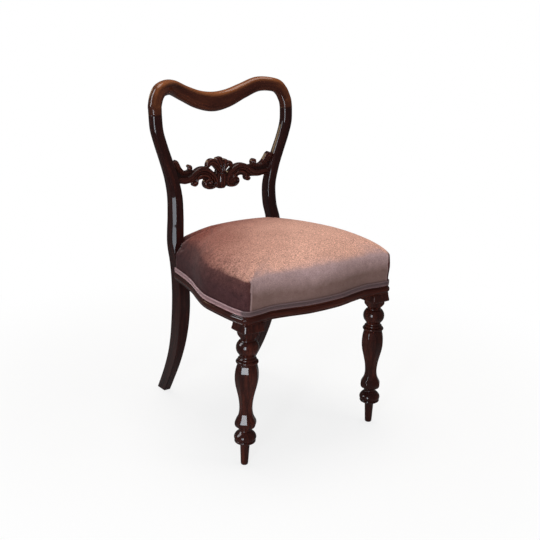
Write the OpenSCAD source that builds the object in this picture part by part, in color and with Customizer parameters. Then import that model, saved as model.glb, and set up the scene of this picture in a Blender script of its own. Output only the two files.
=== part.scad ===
// Balloon back dining chair: turned front legs, sabre back legs, a carved mid rail and a stuffed seat.
// Front faces -Y, the floor is z = 0 and x = 0 is the plane of symmetry.

/* [Chair] */
// Height from the floor to the top of the shoulders
chair_h = 880; // [840:1:920]
// Depth from the front of the seat moulding to the rear of the back feet
chair_d = 556; // [535:1:580]

/* [Seat frame] */
// Width across the seat rails at the front corners
seat_front_w = 447; // [420:1:470]
// Width across the side rails where they meet the stiles
seat_back_w = 346; // [338:1:354]
// Depth from the middle of the front rail to the front of the stiles
seat_d = 396; // [380:1:410]
// How far the front corners lie behind the middle of the front rail
corner_set = 12.5; // [8:0.5:16]
// How far the hollows of the front rail lie behind its middle
front_hollow = 19; // [14:1:24]
// How far the side rails swell beyond the front corners
side_belly = 6; // [3:1:10]
// How far the side rails draw in near the stiles, past a straight line
side_hollow = 4; // [1:0.5:8]
// Radius of the rounded front corners of the seat
corner_r = 11; // [7:1:14]
// Height of the underside of the seat rails
rail_z = 368; // [350:1:385]
// Height of the seat rails themselves
rail_h = 68; // [60:1:76]
// Thickness of the seat rails
rail_t = 26; // [22:1:30]
// How far the back rail lies inside the rear faces of the stiles
back_rail_set = 4; // [3:0.5:8]

/* [Back] */
// Half distance between the stiles' centre lines at the seat rails
stile_out = 153; // [150:0.5:156]
// Width of a stile at the seat rails
stile_w = 32; // [28:1:36]
// Depth of a stile at the seat rails
stile_d = 40; // [36:1:44]
// Half distance between the stiles' centre lines at the shoulders
shoulder_out = 209; // [198:1:216]
// How far below the top of the shoulders the stiles meet the crest rail
joint_drop = 82; // [72:1:100]
// How far the middle of the crest rail lies behind the stiles at the seat
crest_back = 77; // [60:1:85]
// Height of the crest rail's section at its middle
crest_w = 52.5; // [46:0.5:56]
// Thickness of the crest rail
crest_t = 32; // [28:1:36]
// How far the middle of the crest rail dips below its shoulders
crest_dip = 43.5; // [32:0.5:50]

/* [Mid rail] */
// Height of the mid rail's middle, as a share of the stiles from the seat rails' underside to the shoulders
mid_height_share = 0.616; // [0.59:0.002:0.65]
// Thickness of the mid rail's arms
mid_t = 18; // [13:1:20]
// How far the mid rail bows back at its middle
mid_bow = 13; // [8:1:18]
// Height of the palmette in the middle of the mid rail
palm_h = 88; // [78:1:94]
// Radius of the large volutes beside the palmette
volute_r = 17; // [14:0.5:18]
// Length of a mid rail tenon in the stile
tenon_l = 14; // [10:1:18]

/* [Front legs] */
// Side of the square block at the top of a leg, at its foot
block_w = 57; // [54:0.5:60]
// Height of the part of the block that shows under the moulding
block_h = 21.5; // [18:0.5:24]
// Side of the smaller square step under the block
step_w = 38; // [34:1:42]
// Height of that step, above the turned shoulder that rounds it off
step_h = 8; // [6:1:11]
// Greatest radius of the turning
leg_r = 28; // [25:0.5:31]
// Outward splay of a front leg in degrees
leg_splay = 0.6; // [0:0.1:1]
// How far a block's foot stands out beyond the rails' faces
block_out = 6.5; // [5:0.5:8]
// How far each side of a block slopes in from its foot to its top
block_flare = 2.5; // [1:0.5:4]

/* [Seat moulding] */
// Height of the seat moulding
mould_h = 21.5; // [18:0.5:24]
// How far the moulding stands out from the rails
mould_out = 9; // [7:0.5:11]

/* [Upholstery] */
// Thickness of the cover with its wadding
cover_t = 3; // [2:0.5:4]
// Height of the rolled edge of the seat
edge_z = 482; // [470:1:495]
// Rise of the crown above the rolled edge
crown_h = 49; // [35:1:60]
// How far the sides of the seat swell beyond the rails
seat_swell = 9; // [6:0.5:11]
// Height of the gimp braid
gimp_h = 13; // [10:0.5:15]
// Thickness of the gimp braid
gimp_t = 2.2; // [1.5:0.1:3]
// Width of a webbing strip
web_w = 50; // [44:1:54]
// Thickness of the webbing
web_t = 1.5; // [1:0.1:2]
// Thickness of the hessian
hessian_t = 1; // [0.6:0.1:1.5]
// Thickness of the dust cloth
dust_t = 0.8; // [0.5:0.1:1.2]

/* [Joinery] */
// Radius of a dowel
dowel_r = 5; // [4:0.5:5.5]
// Length of a dowel
dowel_l = 44; // [36:1:50]
// Leg of a triangular corner block
brace_w = 62; // [54:1:68]
// Height of a corner block
brace_h = 40; // [32:1:48]
// Radius of a block screw's shank
screw_r = 2; // [1.5:0.25:2.5]
// Length of a block screw
screw_l = 40; // [34:1:44]
// Radius of a tack's head
tack_r = 4; // [3:0.25:4.5]
// Length of a tack
tack_l = 10; // [8:0.5:12]

/* [Hidden] */

mahogany = [0.27, 0.10, 0.07];
beech = [0.76, 0.60, 0.42];
velvet = [0.60, 0.40, 0.36];
braid = [0.62, 0.44, 0.44];
hemp = [0.66, 0.55, 0.38];
hair = [0.22, 0.18, 0.15];
black_cloth = [0.10, 0.10, 0.11];
steel = [0.40, 0.42, 0.45];

// Clearance of a glued or tacked fit, and the overrun of a cut
fit = 0.1;
seat_gap = 0.3;
over = 1;
round_fn = 48;
pin_fn = 20;

// Places on the ground plan
front_y = -chair_d / 2 + mould_out;
corner_x = seat_front_w / 2;
corner_y = front_y + corner_set;
stile_front = front_y + seat_d;
stile_y = stile_front + stile_d / 2;
stile_rear = stile_front + stile_d;
rail_top = rail_z + rail_h;
joint_z = chair_h - joint_drop;
mid_z = rail_z + mid_height_share * (joint_z - rail_z);
leg_x = corner_x + block_out - block_w / 2;
leg_y = corner_y - block_out + block_w / 2;
post_w = block_w - block_out - block_flare;
back_rail_rear = stile_rear - back_rail_set;
back_rail_front = back_rail_rear - rail_t;
front_rail_back = front_y + front_hollow + rail_t;
mould_top = rail_z + mould_h;

function spline(a, b, c, d, t) =
    (2 * b + (c - a) * t + (2 * a - 5 * b + 4 * c - d) * t * t + (3 * b - a - 3 * c + d) * t * t * t) / 2;
function curve(rows, steps) = let (n = len(rows)) concat(
    [for (i = [0:n - 2], k = [0:steps - 1])
        spline(rows[max(i - 1, 0)], rows[i], rows[i + 1], rows[min(i + 2, n - 1)], k / steps)],
    [rows[n - 1]]);
function reversed(list) = [for (i = [len(list) - 1:-1:0]) list[i]];
function unit(v) = v / norm(v);
function flip_x(list) = [for (p = reversed(list)) [-p.x, p.y]];

// A closed skin through rings of equally many points, each ring seen counter-clockwise from the last one
module skin(rings) {
    n = len(rings[0]);
    m = len(rings);
    side = [for (j = [0:m - 2], i = [0:n - 1]) let (a = j * n + i, b = j * n + (i + 1) % n)
        each [[a, a + n, b], [b, a + n, b + n]]];
    first = [for (i = [1:n - 2]) [0, i, i + 1]];
    last = [for (i = [1:n - 2]) [(m - 1) * n, (m - 1) * n + i + 1, (m - 1) * n + i]];
    polyhedron([for (r = rings) each r], concat(side, first, last), convexity = 8);
}

// Section of a member: w along the first axis, d along the second, corners of radius r
function section(w, d, r, steps = 3) = [for (q = [0:3], k = [0:steps])
    let (a = 90 * (q + k / steps),
        sx = (q == 0 || q == 3) ? 1 : -1,
        sy = q < 2 ? 1 : -1)
    [sx * (w / 2 - r) + r * cos(a), sy * (d / 2 - r) + r * sin(a)]];

// Section points carried square to a path, with the second axis kept towards +Y
function framed(p, t, points) = let (
        b = unit([0, 1, 0] - t * t.y),
        n = cross(b, t))
    [for (q = points) p + n * q.x + b * q.y];
function swept(rows, square_ends = false) = let (n = len(rows)) [for (i = [0:n - 1])
    let (p = [rows[i][0], rows[i][1], rows[i][2]],
        a = rows[max(i - 1, 0)],
        c = rows[min(i + 1, n - 1)],
        t = unit([c[0] - a[0], c[1] - a[1], c[2] - a[2]]),
        level = square_ends && (i == 0 || i == n - 1))
    framed(p, level ? [0, 0, sign(t.z)] : t, section(rows[i][3], rows[i][4], rows[i][5]))];

// Plan of the rails' outer faces, from the middle of the front round to the stile
front_rows = [for (s = [[0, 0], [0.22, 0.12], [0.46, 0.68], [0.66, 1], [0.82, 0.78]])
    [s[0] * corner_x, front_y + s[1] * front_hollow]];
side_x_back = seat_back_w / 2;
side_rows = [for (s = [[0.12, 0.75, 0], [0.3, 1, 0], [0.42, 0.9, 0], [0.56, 0.45, 0.1],
        [0.68, 0, 0.75], [0.8, 0, 1], [0.91, 0, 0.6]])
    [corner_x + s[1] * side_belly - s[2] * side_hollow
            - (corner_x - side_x_back) * max(s[0] - 0.4, 0) / (1 - 0.4),
        corner_y + s[0] * (stile_front - corner_y)]];
corner_arc = [for (k = [0:4]) let (a = -90 + 90 * k / 4)
    [corner_x - corner_r + corner_r * cos(a), corner_y + corner_r + corner_r * sin(a)]];
front_line = curve(concat(front_rows, [corner_arc[0]]), 2);
side_line = curve(concat([corner_arc[4]], side_rows, [[side_x_back, stile_front]]), 2);
arc_middle = 2;
half_plan = concat(front_line, [corner_arc[1], corner_arc[2], corner_arc[3]], side_line);
front_count = len(front_line);
corner_index = front_count - 1 + arc_middle;

// The plan moved out by a distance, square to itself; its ends stay on x = 0 and on the stile's face
function plan_normal(i) = let (
        a = half_plan[max(i - 1, 0)],
        c = half_plan[min(i + 1, len(half_plan) - 1)],
        t = unit(c - a))
    i == 0 ? [0, -1] : [t.y, -t.x];
function plan_at(i, out) = let (p = half_plan[i] + plan_normal(i) * out, last = len(half_plan) - 1)
    i == last ? let (t = unit(half_plan[last] - half_plan[last - 1])) p + t * (stile_front - p.y) / t.y : p;
function plan(out) = [for (i = [0:len(half_plan) - 1]) plan_at(i, out)];
// The whole plan as a shape, drawn on past the stiles' faces by a distance
plan_end_way = let (n = len(half_plan), t = unit(half_plan[n - 1] - half_plan[n - 2])) t / t.y;
rail_end = stile_d / 4;
module seat_plan(out, past = 0) {
    half = plan(out);
    end = half[len(half) - 1] + plan_end_way * past;
    polygon(concat(half, past > 0 ? [end, [-end.x, end.y]] : [], flip_x(half)));
}

// Stile: height share, outward share, back share, width share, depth share, corner radius share
leg_shares = [
    [0, -0.21, 1, 0.62, 0.97, 0.05], [0.125, -0.175, 0.748, 0.635, 1, 0.05],
    [0.25, -0.147, 0.515, 0.705, 1.015, 0.05], [0.375, -0.124, 0.322, 0.775, 1.04, 0.05],
    [0.5, -0.096, 0.172, 0.88, 1.06, 0.05], [0.625, -0.073, 0.071, 0.975, 1.08, 0.05],
    [0.75, -0.062, 0.015, 1.015, 1.09, 0.05], [0.875, -0.045, -0.004, 1.01, 1.07, 0.05]];
back_shares = [
    [0, 0, 0, 1, 1, 0.05], [0.098, 0.075, 0.018, 1, 0.94, 0.05], [0.177, 0.16, 0.047, 1.01, 0.91, 0.06],
    [0.231, 0.184, 0.068, 1.015, 0.9, 0.07], [0.294, 0.158, 0.096, 1.02, 0.895, 0.12],
    [0.383, 0.053, 0.204, 1.01, 0.887, 0.2], [0.5, 0.035, 0.265, 1.01, 0.86, 0.27],
    [0.608, 0.196, 0.27, 1.015, 0.82, 0.33], [0.716, 0.469, 0.266, 1.02, 0.8, 0.37],
    [0.824, 0.77, 0.257, 1.01, 0.795, 0.38], [0.913, 0.965, 0.268, 1, 0.795, 0.38],
    [1, 1, 0.303, 1, 0.795, 0.38]];
joint_shares = back_shares[len(back_shares) - 1];
flare_out = shoulder_out - stile_out;
foot_rake = chair_d / 2 - leg_shares[0][4] * stile_d / 2 - stile_y;
function stile_row(z, out, y, s) =
    [stile_out + out, y, z, s[3] * stile_w, s[4] * stile_d, s[5] * stile_w];
stile_rows = concat(
    [for (s = leg_shares) stile_row(s[0] * rail_z, s[1] * flare_out, stile_y + s[2] * foot_rake, s)],
    [for (s = back_shares) stile_row(rail_z + s[0] * (joint_z - rail_z), s[1] * flare_out,
        stile_y + s[2] * crest_back, s)]);
stile_path = curve(stile_rows, 2);
stile_x_at = [for (r = stile_path) [r[2], r[0]]];
stile_w_at = [for (r = stile_path) [r[2], r[3]]];
stile_y_at = [for (r = stile_path) [r[2], r[1]]];
function stile_inner(z) = lookup(z, stile_x_at) - lookup(z, stile_w_at) / 2;

module stile_form(grow) skin([for (r = stile_path)
    [for (q = section(r[3] + 2 * grow, r[4] + 2 * grow, r[5] + grow)) [r[0] + q.x, r[1] + q.y, r[2]]]]);

// Dowels: two at each joint of the rails, one at each end of the crest rail
dowel_heights = [rail_z + rail_h * 0.38, rail_z + rail_h * 0.62];
cross_heights = [rail_z + rail_h * 0.2, rail_z + rail_h * 0.8];
side_dowel_x = side_x_back - rail_t / 2;
back_dowel_y = back_rail_rear - rail_t / 2;
module dowel(r) cylinder(h = dowel_l, r = r, center = true, $fn = pin_fn);
module crest_dowel_holes(r)
    translate([shoulder_out, stile_y + crest_back * joint_shares[2], joint_z]) dowel(r);
module side_back_dowels(r) for (z = dowel_heights)
    translate([side_dowel_x, stile_front, z]) rotate([90, 0, 0]) dowel(r);
module side_front_dowels(r) for (z = dowel_heights)
    translate([corner_x - rail_t / 2, corner_y + post_w, z]) rotate([90, 0, 0]) dowel(r);
module back_dowels(r) for (z = cross_heights)
    translate([stile_inner(z), back_dowel_y, z]) rotate([0, 90, 0]) dowel(r);
module front_dowels(r) for (z = cross_heights)
    translate([corner_x - post_w, corner_y + rail_t / 2, z]) rotate([0, 90, 0]) dowel(r);

// Mid rail: half of it, as shares of the half width, the palmette's height, the arm's height and thickness
arm_h = palm_h * 0.41;
knob_r = arm_h * 0.17;
mid_half = stile_inner(mid_z);
mid_end_y = lookup(mid_z, stile_y_at);
function mid_y(x, thick) = mid_end_y + mid_bow * (1 - pow(x / mid_half, 2)) - mid_t * (thick - 1) / 2;
function mid_rows(shares) = [for (s = shares) let (x = s[0] * mid_half, h = s[2] * arm_h, t = s[3] * mid_t)
    [x, mid_y(x, s[3]), mid_z + s[1] * palm_h, h, t, min(h, t) * 0.35]];
arm_shares = [[1.08, 0.11, 1.4, 0.9], [0.98, 0.065, 1.15, 1], [0.9, 0.01, 0.92, 1], [0.8, 0.01, 0.95, 1],
    [0.7, 0.02, 1, 1], [0.6, 0.035, 1.02, 1.05], [0.51, 0.03, 1.02, 1.1], [0.43, -0.02, 1, 1.15],
    [0.36, -0.11, 0.9, 1.2], [0.31, -0.21, 0.75, 1.25], [0.28, -0.32, 0.5, 1.3]];
leaf_shares = [[1.14, 0.5, 0.2, 0.7], [1.08, 0.42, 0.34, 0.8], [1, 0.27, 0.38, 0.9], [0.92, 0.14, 0.3, 0.9],
    [0.84, 0.1, 0.2, 0.8]];
side_plume_shares = [[0.06, -0.1, 0.35, 1.2], [0.13, 0.07, 0.44, 1.3], [0.22, 0.23, 0.5, 1.4],
    [0.31, 0.3, 0.46, 1.4], [0.38, 0.23, 0.34, 1.3], [0.4, 0.12, 0.3, 1.2]];
top_plume_shares = [[0, -0.1, 0.5, 1.2], [0, 0.1, 0.75, 1.3], [0, 0.3, 1.15, 1.4], [0, 0.42, 1.1, 1.4],
    [0, 0.5, 0.6, 1.3]];
bud_shares = [[0, -0.06, 0.8, 1.5], [0, -0.2, 1.32, 1.65], [0, -0.34, 1.32, 1.6], [0, -0.44, 0.95, 1.5],
    [0, -0.5, 0.4, 1.3]];
volute_share = [0.266, -0.33];
knob_shares = [[0.79, 0.265], [0.67, -0.235]];
tenon_h = arm_h * 0.7;
tenon_z = mid_z + palm_h * 0.07;
module mid_disc(share, r, thick) let (x = share[0] * mid_half)
    translate([x, mid_y(x, thick), mid_z + share[1] * palm_h]) rotate([90, 0, 0])
        cylinder(h = mid_t * thick, r = r, center = true, $fn = round_fn);

// Front leg: height share of the turning and radius share, from the floor up
turn_h = rail_z - block_h - step_h;
peg_shares = [[0, 0.27], [0.006, 0.32], [0.05, 0.345], [0.15, 0.41], [0.158, 0.5], [0.164, 0.68],
    [0.176, 0.83], [0.184, 0.86], [0.19, 0.94], [0.202, 0.965], [0.22, 0.92], [0.236, 0.84], [0.25, 0.7],
    [0.262, 0.56], [0.274, 0.53], [0.285, 0.6]];
eight_shares = [[0.28, 0.62], [0.29, 0.82], [0.303, 0.97], [0.325, 0.97], [0.34, 0.92], [0.355, 0.79],
    [0.375, 0.68], [0.4, 0.605], [0.43, 0.58], [0.46, 0.59], [0.49, 0.64], [0.52, 0.71], [0.55, 0.81],
    [0.58, 0.92], [0.61, 0.985], [0.65, 1.02], [0.68, 1.0], [0.71, 0.955], [0.735, 0.9], [0.765, 0.84]];
ball_shares = [[0.76, 0.8], [0.768, 0.93], [0.781, 0.955], [0.79, 0.9], [0.798, 0.78], [0.812, 0.67],
    [0.828, 0.655], [0.842, 0.72], [0.852, 0.86], [0.868, 0.945], [0.886, 0.965], [0.902, 0.94],
    [0.92, 0.86], [0.934, 0.74], [0.945, 0.69], [0.958, 0.7]];
pommel_shares = [[0.94, 0.69], [0.958, 0.7], [0.972, 0.75], [0.985, 0.84], [1, 0.95], [1.03, 1.01]];
function turned(shares) = concat([[0, shares[0][0] * turn_h]],
    [for (s = shares) [s[1] * leg_r, s[0] * turn_h]], [[0, shares[len(shares) - 1][0] * turn_h]]);

// Seat moulding: out share and height share, counter-clockwise
mould_shares = [[0, 0], [0.55, 0], [0.6, 0.1], [0.5, 0.17], [0.72, 0.23], [0.93, 0.36], [1, 0.5],
    [0.93, 0.63], [0.76, 0.74], [0.56, 0.8], [0.5, 0.86], [0.6, 0.9], [0.55, 1], [0, 1]];
mould_profile = [for (s = mould_shares) [s[0] * mould_out, rail_z + s[1] * mould_h]];
// A profile carried along the plan; negative places lie on the left half
module along_plan(first, last, profile) skin([for (i = [first:last])
    [for (q = profile) let (p = plan_at(abs(i), q[0])) [i < 0 ? -p.x : p.x, p.y, q[1]]]]);

// Seat: outlines of the cover, drawn in round the stiles
belly_end = corner_index + 9;
thin_plan = [for (i = [0:len(half_plan) - 1]) if (i <= belly_end || i % 2 == 0) i];
function seat_outline(out, z, gap, back) = let (
        outer = [for (i = thin_plan) let (p = plan_at(i, out)) [p.x, min(p.y, stile_front - gap)]],
        x = stile_inner(min(z, edge_z)) - gap,
        half = concat(outer, [[x, stile_front - gap], [x, back], [x * 0.66, back], [x * 0.33, back]]))
    concat(half, [[0, back]], [for (i = [len(half) - 1:-1:1]) [-half[i].x, half[i].y]]);
seat_mid_y = front_y + seat_d * 0.53;
// Wall: share of the height from the moulding to the rolled edge, share of the swell
wall_shares = [[0, 0], [0.2, 0.02], [0.5, 0.62], [0.84, 1], [0.97, 0.65], [1, 0.1]];
crown_shares = [0.94, 0.82, 0.6, 0.25];
cover_out = seat_gap + cover_t;
// The crown's rings turn from the rim's outline into this oval towards the middle
function crown_oval(p) = let (
        a = corner_x * 1.02,
        b = seat_d * 0.54,
        turn = atan2((p.y - seat_mid_y) / b, p.x / a))
    [a * cos(turn), b * sin(turn)];
function seat_rings(inset, foot_z, back_out) = let (
        top = edge_z - inset,
        gap = seat_gap + inset,
        wall = [for (s = wall_shares) let (
                z = foot_z + s[0] * (top - foot_z),
                out = cover_out - inset + s[1] * (seat_swell - cover_out),
                back = back_rail_rear + cover_out - inset + s[1] * back_out)
            [for (p = seat_outline(out, z, gap, back)) [p.x, p.y, z]]],
        rim = wall[len(wall) - 1])
    concat(wall, [for (s = crown_shares) [for (p = rim)
        let (q = s * (pow(s, 1.5) * [p.x, p.y - seat_mid_y] + (1 - pow(s, 1.5)) * crown_oval(p)))
        [q.x, seat_mid_y + q.y, top + crown_h * (1 - pow(s, 2.4))]]]);
cover_foot = mould_top + seat_gap;
back_swell = 2;

// Webbing: strips from front to back, and strips from side to side over them
web_count = 4;
cross_count = 3;
function web_places(pitch, count) = [for (k = [0:count - 1]) pitch * (k - (count - 1) / 2)];
cross_mid = (front_rail_back + back_rail_front) / 2;
long_places = web_places(web_w * 1.28, web_count);
cross_places = [for (y = web_places(web_w * 1.85, cross_count)) y + cross_mid];
web_front = front_rail_back - rail_t * 0.75;
web_back = back_rail_front + rail_t * 0.75;
function side_face(y) = lookup(y, [for (p = side_line) [p.y, p.x]]);
function web_reach(y) = min(side_face(y - web_w / 2), side_face(y + web_w / 2)) - rail_t * 0.25;

// Tacks: a head on the cloth and a shank in the wood
tack_head = 0.8;
shank_r = tack_r / 4;
tack_set = tack_r * 2;
module tack() {
    cylinder(h = tack_head, r1 = tack_r, r2 = tack_r * 0.7, $fn = pin_fn);
    translate([0, 0, -tack_l]) cylinder(h = tack_l + tack_head / 2, r = shank_r, $fn = pin_fn);
}
module tack_hole() rotate([0, 0, 45]) translate([0, 0, -tack_l - fit])
    cylinder(h = tack_l + over, r = shank_r + fit, $fn = pin_fn);
module at_web_tacks() translate([0, 0, rail_top + web_t]) {
    for (x = long_places, k = [-1:1], y = [web_front + tack_set, web_back - tack_set])
        translate([x + k * web_w / 3, y, 0]) children();
    for (y = cross_places, k = [-1:1], side = [-1, 1])
        translate([side * (web_reach(y) - tack_set), y + k * web_w / 3, web_t]) children();
}
dust_in = 6;
side_dust_shares = [0.2, 0.35, 0.5, 0.65, 0.8];
module at_dust_tacks() translate([0, 0, rail_z - dust_t]) {
    for (k = [-2:2]) {
        translate([k * corner_x * 0.3, front_y + front_hollow + rail_t / 2, 0]) children();
        translate([k * stile_out * 0.33, back_rail_front + rail_t / 2, 0]) children();
    }
    for (side = [-1, 1], s = side_dust_shares) let (y = corner_y + s * (stile_front - corner_y))
        translate([side * (side_face(y) - rail_t / 2), y, 0]) children();
}
cover_tack_z = cover_foot + gimp_h / 2;
cover_tack_out = cover_out + seat_gap;
module at_cover_tacks() {
    for (i = [2:2:len(half_plan) - 3], side = [0, 1]) if (abs(i - corner_index) > 2)
        let (p = plan_at(i, cover_tack_out), n = plan_normal(i))
        mirror([side, 0, 0]) translate([p.x, p.y, cover_tack_z]) rotate([0, 0, atan2(n.y, n.x)])
        rotate([0, 90, 0]) children();
    for (k = [-1.5:1.5]) translate([k * stile_out * 0.4, back_rail_rear + cover_tack_out, cover_tack_z])
        rotate([-90, 0, 0]) children();
}

// Corner blocks: their inner corners, and the seats of their screws
brace_z = rail_z + (rail_h - brace_h) / 2;
screw_z = rail_z + rail_h / 2;
screw_grip = screw_l * 0.55;
front_brace = [corner_x - post_w, front_rail_back];
back_brace = [stile_inner(rail_z), back_rail_front];
brace_ext = brace_w * 0.65;
module screw(gap) {
    head_h = gap > 0 ? screw_l : screw_r;
    translate([0, 0, -screw_l + screw_grip - gap])
        cylinder(h = screw_l + gap, r = screw_r + gap, $fn = pin_fn);
    translate([0, 0, screw_grip]) cylinder(h = head_h, r = 2 * screw_r + gap, $fn = pin_fn);
}
module front_screws(gap) {
    translate([front_brace.x - brace_w * 0.4, front_rail_back, screw_z]) rotate([-90, 0, 0]) screw(gap);
    let (y = corner_y + post_w + brace_w * 0.4)
        translate([side_face(y) - rail_t, y, screw_z]) rotate([0, -90, 0]) screw(gap);
}
module back_screws(gap) {
    translate([back_brace.x - brace_w * 0.4, back_rail_front, screw_z]) rotate([90, 0, 0]) screw(gap);
    let (y = back_rail_front - brace_w * 0.75)
        translate([side_face(y) - rail_t, y, screw_z]) rotate([0, -90, 0]) screw(gap);
}
module brace(corner, way, notch) translate([0, 0, brace_z]) linear_extrude(brace_h) intersection() {
    seat_plan(-rail_t - fit);
    difference() {
        polygon([corner + [-brace_w, way * fit], corner + [brace_ext, way * fit],
            corner + [brace_ext, way * (brace_w + brace_ext)]]);
        translate(notch) square([brace_ext * 2, brace_ext * 2]);
    }
}

module crest_rail() color(mahogany) difference() {
    rise = joint_drop - crest_w * 0.37;
    top_w = joint_shares[3] * stile_w;
    top_d = joint_shares[4] * stile_d;
    corner = joint_shares[5] * stile_w;
    // Outward, rise, back and the way from the joint's section to the middle's
    shares = [[1, 0, joint_shares[2], 0], [0.997, 0.21, 0.33, 0.02], [0.99, 0.368, 0.364, 0.05],
        [0.945, 0.729, 0.44, 0.13], [0.86, 0.966, 0.545, 0.24], [0.663, 1, 0.82, 0.36],
        [0.447, 0.712, 0.96, 0.48], [0.221, 0.42, 1, 0.8]];
    rows = [for (s = shares) [s[0] * shoulder_out, stile_y + s[2] * crest_back, joint_z + s[1] * rise,
        top_w + s[3] * (crest_w - top_w), top_d + s[3] * (crest_t - top_d), corner]];
    middle = [0, stile_y + crest_back, joint_z + rise - crest_dip, crest_w, crest_t, corner];
    whole = concat(rows, [middle], [for (r = reversed(rows)) [-r[0], r[1], r[2], r[3], r[4], r[5]]]);
    skin(swept(curve(whole, 2), true));
    for (side = [0, 1]) mirror([side, 0, 0]) crest_dowel_holes(dowel_r + fit);
}

module stile() color(mahogany) difference() {
    stile_form(0);
    crest_dowel_holes(dowel_r + fit);
    side_back_dowels(dowel_r + fit);
    back_dowels(dowel_r + fit);
    translate([mid_half - tenon_l / 2, mid_end_y - mid_t / 4 - fit, tenon_z - tenon_h / 2 - fit])
        cube([tenon_l * 1.5 + fit, mid_t / 2 + 2 * fit, tenon_h + 2 * fit]);
}
module left_stile() mirror([1, 0, 0]) stile();
module right_stile() stile();

module mid_rail() color(mahogany) {
    difference() {
        union() {
            for (side = [0, 1]) mirror([side, 0, 0]) {
                skin(swept(mid_rows(arm_shares)));
                skin(swept(mid_rows(leaf_shares)));
                skin(swept(mid_rows(side_plume_shares)));
                mid_disc(volute_share, volute_r, 1.35);
                mid_disc(knob_shares[0], knob_r, 1.1);
                mid_disc(knob_shares[1], knob_r, 1.1);
            }
            skin(swept(mid_rows(top_plume_shares)));
            skin(swept(mid_rows(bud_shares)));
        }
        for (side = [0, 1]) mirror([side, 0, 0]) stile_form(fit);
    }
    for (side = [0, 1]) mirror([side, 0, 0])
        translate([mid_half - tenon_l / 2, mid_end_y - mid_t / 4, tenon_z - tenon_h / 2])
        cube([tenon_l * 1.5, mid_t / 2, tenon_h]);
}

module front_leg() color(mahogany) difference() {
    union() {
        translate([leg_x, leg_y, turn_h]) rotate([0, leg_splay * -1, 0]) translate([0, 0, -turn_h]) {
            rotate_extrude($fn = round_fn) polygon(turned(peg_shares));
            rotate([0, 0, 22.5]) rotate_extrude($fn = 8) polygon(turned(eight_shares));
            rotate_extrude($fn = round_fn) polygon(turned(ball_shares));
            translate([0, 0, -over]) cylinder(h = over, r = peg_shares[0][1] * leg_r, $fn = round_fn);
        }
        translate([leg_x, leg_y, 0]) {
            intersection() {
                rotate_extrude($fn = round_fn) polygon(turned(pommel_shares));
                linear_extrude(turn_h + step_h + over) square(step_w, center = true);
            }
            translate([0, 0, turn_h + step_h])
                linear_extrude(block_h, scale = 1 - 2 * block_flare / block_w) square(block_w, center = true);
        }
        translate([0, 0, rail_z - fit]) linear_extrude(rail_h + fit) intersection() {
            seat_plan(0);
            translate([corner_x - post_w, corner_y - over]) square([post_w + over, post_w + over]);
        }
    }
    translate([leg_x - block_w, leg_y - block_w, -2 * over]) cube([block_w * 2, block_w * 2, 2 * over]);
    side_front_dowels(dowel_r + fit);
    front_dowels(dowel_r + fit);
    at_cover_tacks() tack_hole();
}
module left_front_leg() mirror([1, 0, 0]) front_leg();
module right_front_leg() front_leg();

module front_seat_rail() color(beech) difference() {
    translate([0, 0, rail_z]) linear_extrude(rail_h) intersection() {
        seat_plan(0);
        translate([-corner_x + post_w, front_y - over])
            square([2 * (corner_x - post_w), front_rail_back - front_y + over]);
    }
    for (side = [0, 1]) mirror([side, 0, 0]) {
        front_dowels(dowel_r + fit);
        front_screws(fit);
    }
    rail_holes();
}
module side_seat_rail() difference() {
    translate([0, 0, rail_z]) linear_extrude(rail_h) intersection() {
        difference() {
            seat_plan(0, rail_end);
            seat_plan(-rail_t, rail_end + over);
        }
        translate([side_x_back / 2, corner_y + post_w])
            square([corner_x, stile_rear - corner_y - post_w]);
    }
    stile_form(fit);
    side_front_dowels(dowel_r + fit);
    side_back_dowels(dowel_r + fit);
    front_screws(fit);
    back_screws(fit);
    rail_holes();
}
module left_seat_rail() color(beech) mirror([1, 0, 0]) side_seat_rail();
module right_seat_rail() color(beech) side_seat_rail();
module back_seat_rail() color(beech) difference() {
    half = stile_inner(rail_top) + over;
    translate([-half, back_rail_front, rail_z]) cube([2 * half, rail_t, rail_h]);
    for (side = [0, 1]) mirror([side, 0, 0]) stile_form(fit);
    for (side = [0, 1]) mirror([side, 0, 0]) {
        back_dowels(dowel_r + fit);
        back_screws(fit);
    }
    rail_holes();
}
module rail_holes() {
    at_web_tacks() tack_hole();
    at_dust_tacks() mirror([0, 0, 1]) tack_hole();
    at_cover_tacks() tack_hole();
}

module front_moulding() color(mahogany) along_plan(-corner_index, corner_index, mould_profile);
module side_moulding() color(mahogany) along_plan(corner_index, len(half_plan) - 1, mould_profile);
module left_moulding() mirror([1, 0, 0]) side_moulding();
module right_moulding() side_moulding();

module crest_dowels() color(beech) for (side = [0, 1]) mirror([side, 0, 0]) crest_dowel_holes(dowel_r);
module front_rail_dowels() color(beech) for (side = [0, 1]) mirror([side, 0, 0]) front_dowels(dowel_r);
module side_rail_dowels() color(beech) for (side = [0, 1]) mirror([side, 0, 0]) {
    side_front_dowels(dowel_r);
    side_back_dowels(dowel_r);
}
module back_rail_dowels() color(beech) for (side = [0, 1]) mirror([side, 0, 0]) back_dowels(dowel_r);

module front_corner_block() difference() {
    brace(front_brace, 1, [corner_x - post_w - fit, corner_y + post_w + fit - brace_ext * 2]);
    front_screws(fit);
}
module back_corner_block() difference() {
    brace(back_brace, -1, [back_brace.x - fit, stile_front - fit]);
    back_screws(fit);
}
module left_front_corner_block() color(beech) mirror([1, 0, 0]) front_corner_block();
module right_front_corner_block() color(beech) front_corner_block();
module left_back_corner_block() color(beech) mirror([1, 0, 0]) back_corner_block();
module right_back_corner_block() color(beech) back_corner_block();
module block_screws() color(steel) for (side = [0, 1]) mirror([side, 0, 0]) {
    front_screws(0);
    back_screws(0);
}

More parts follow.
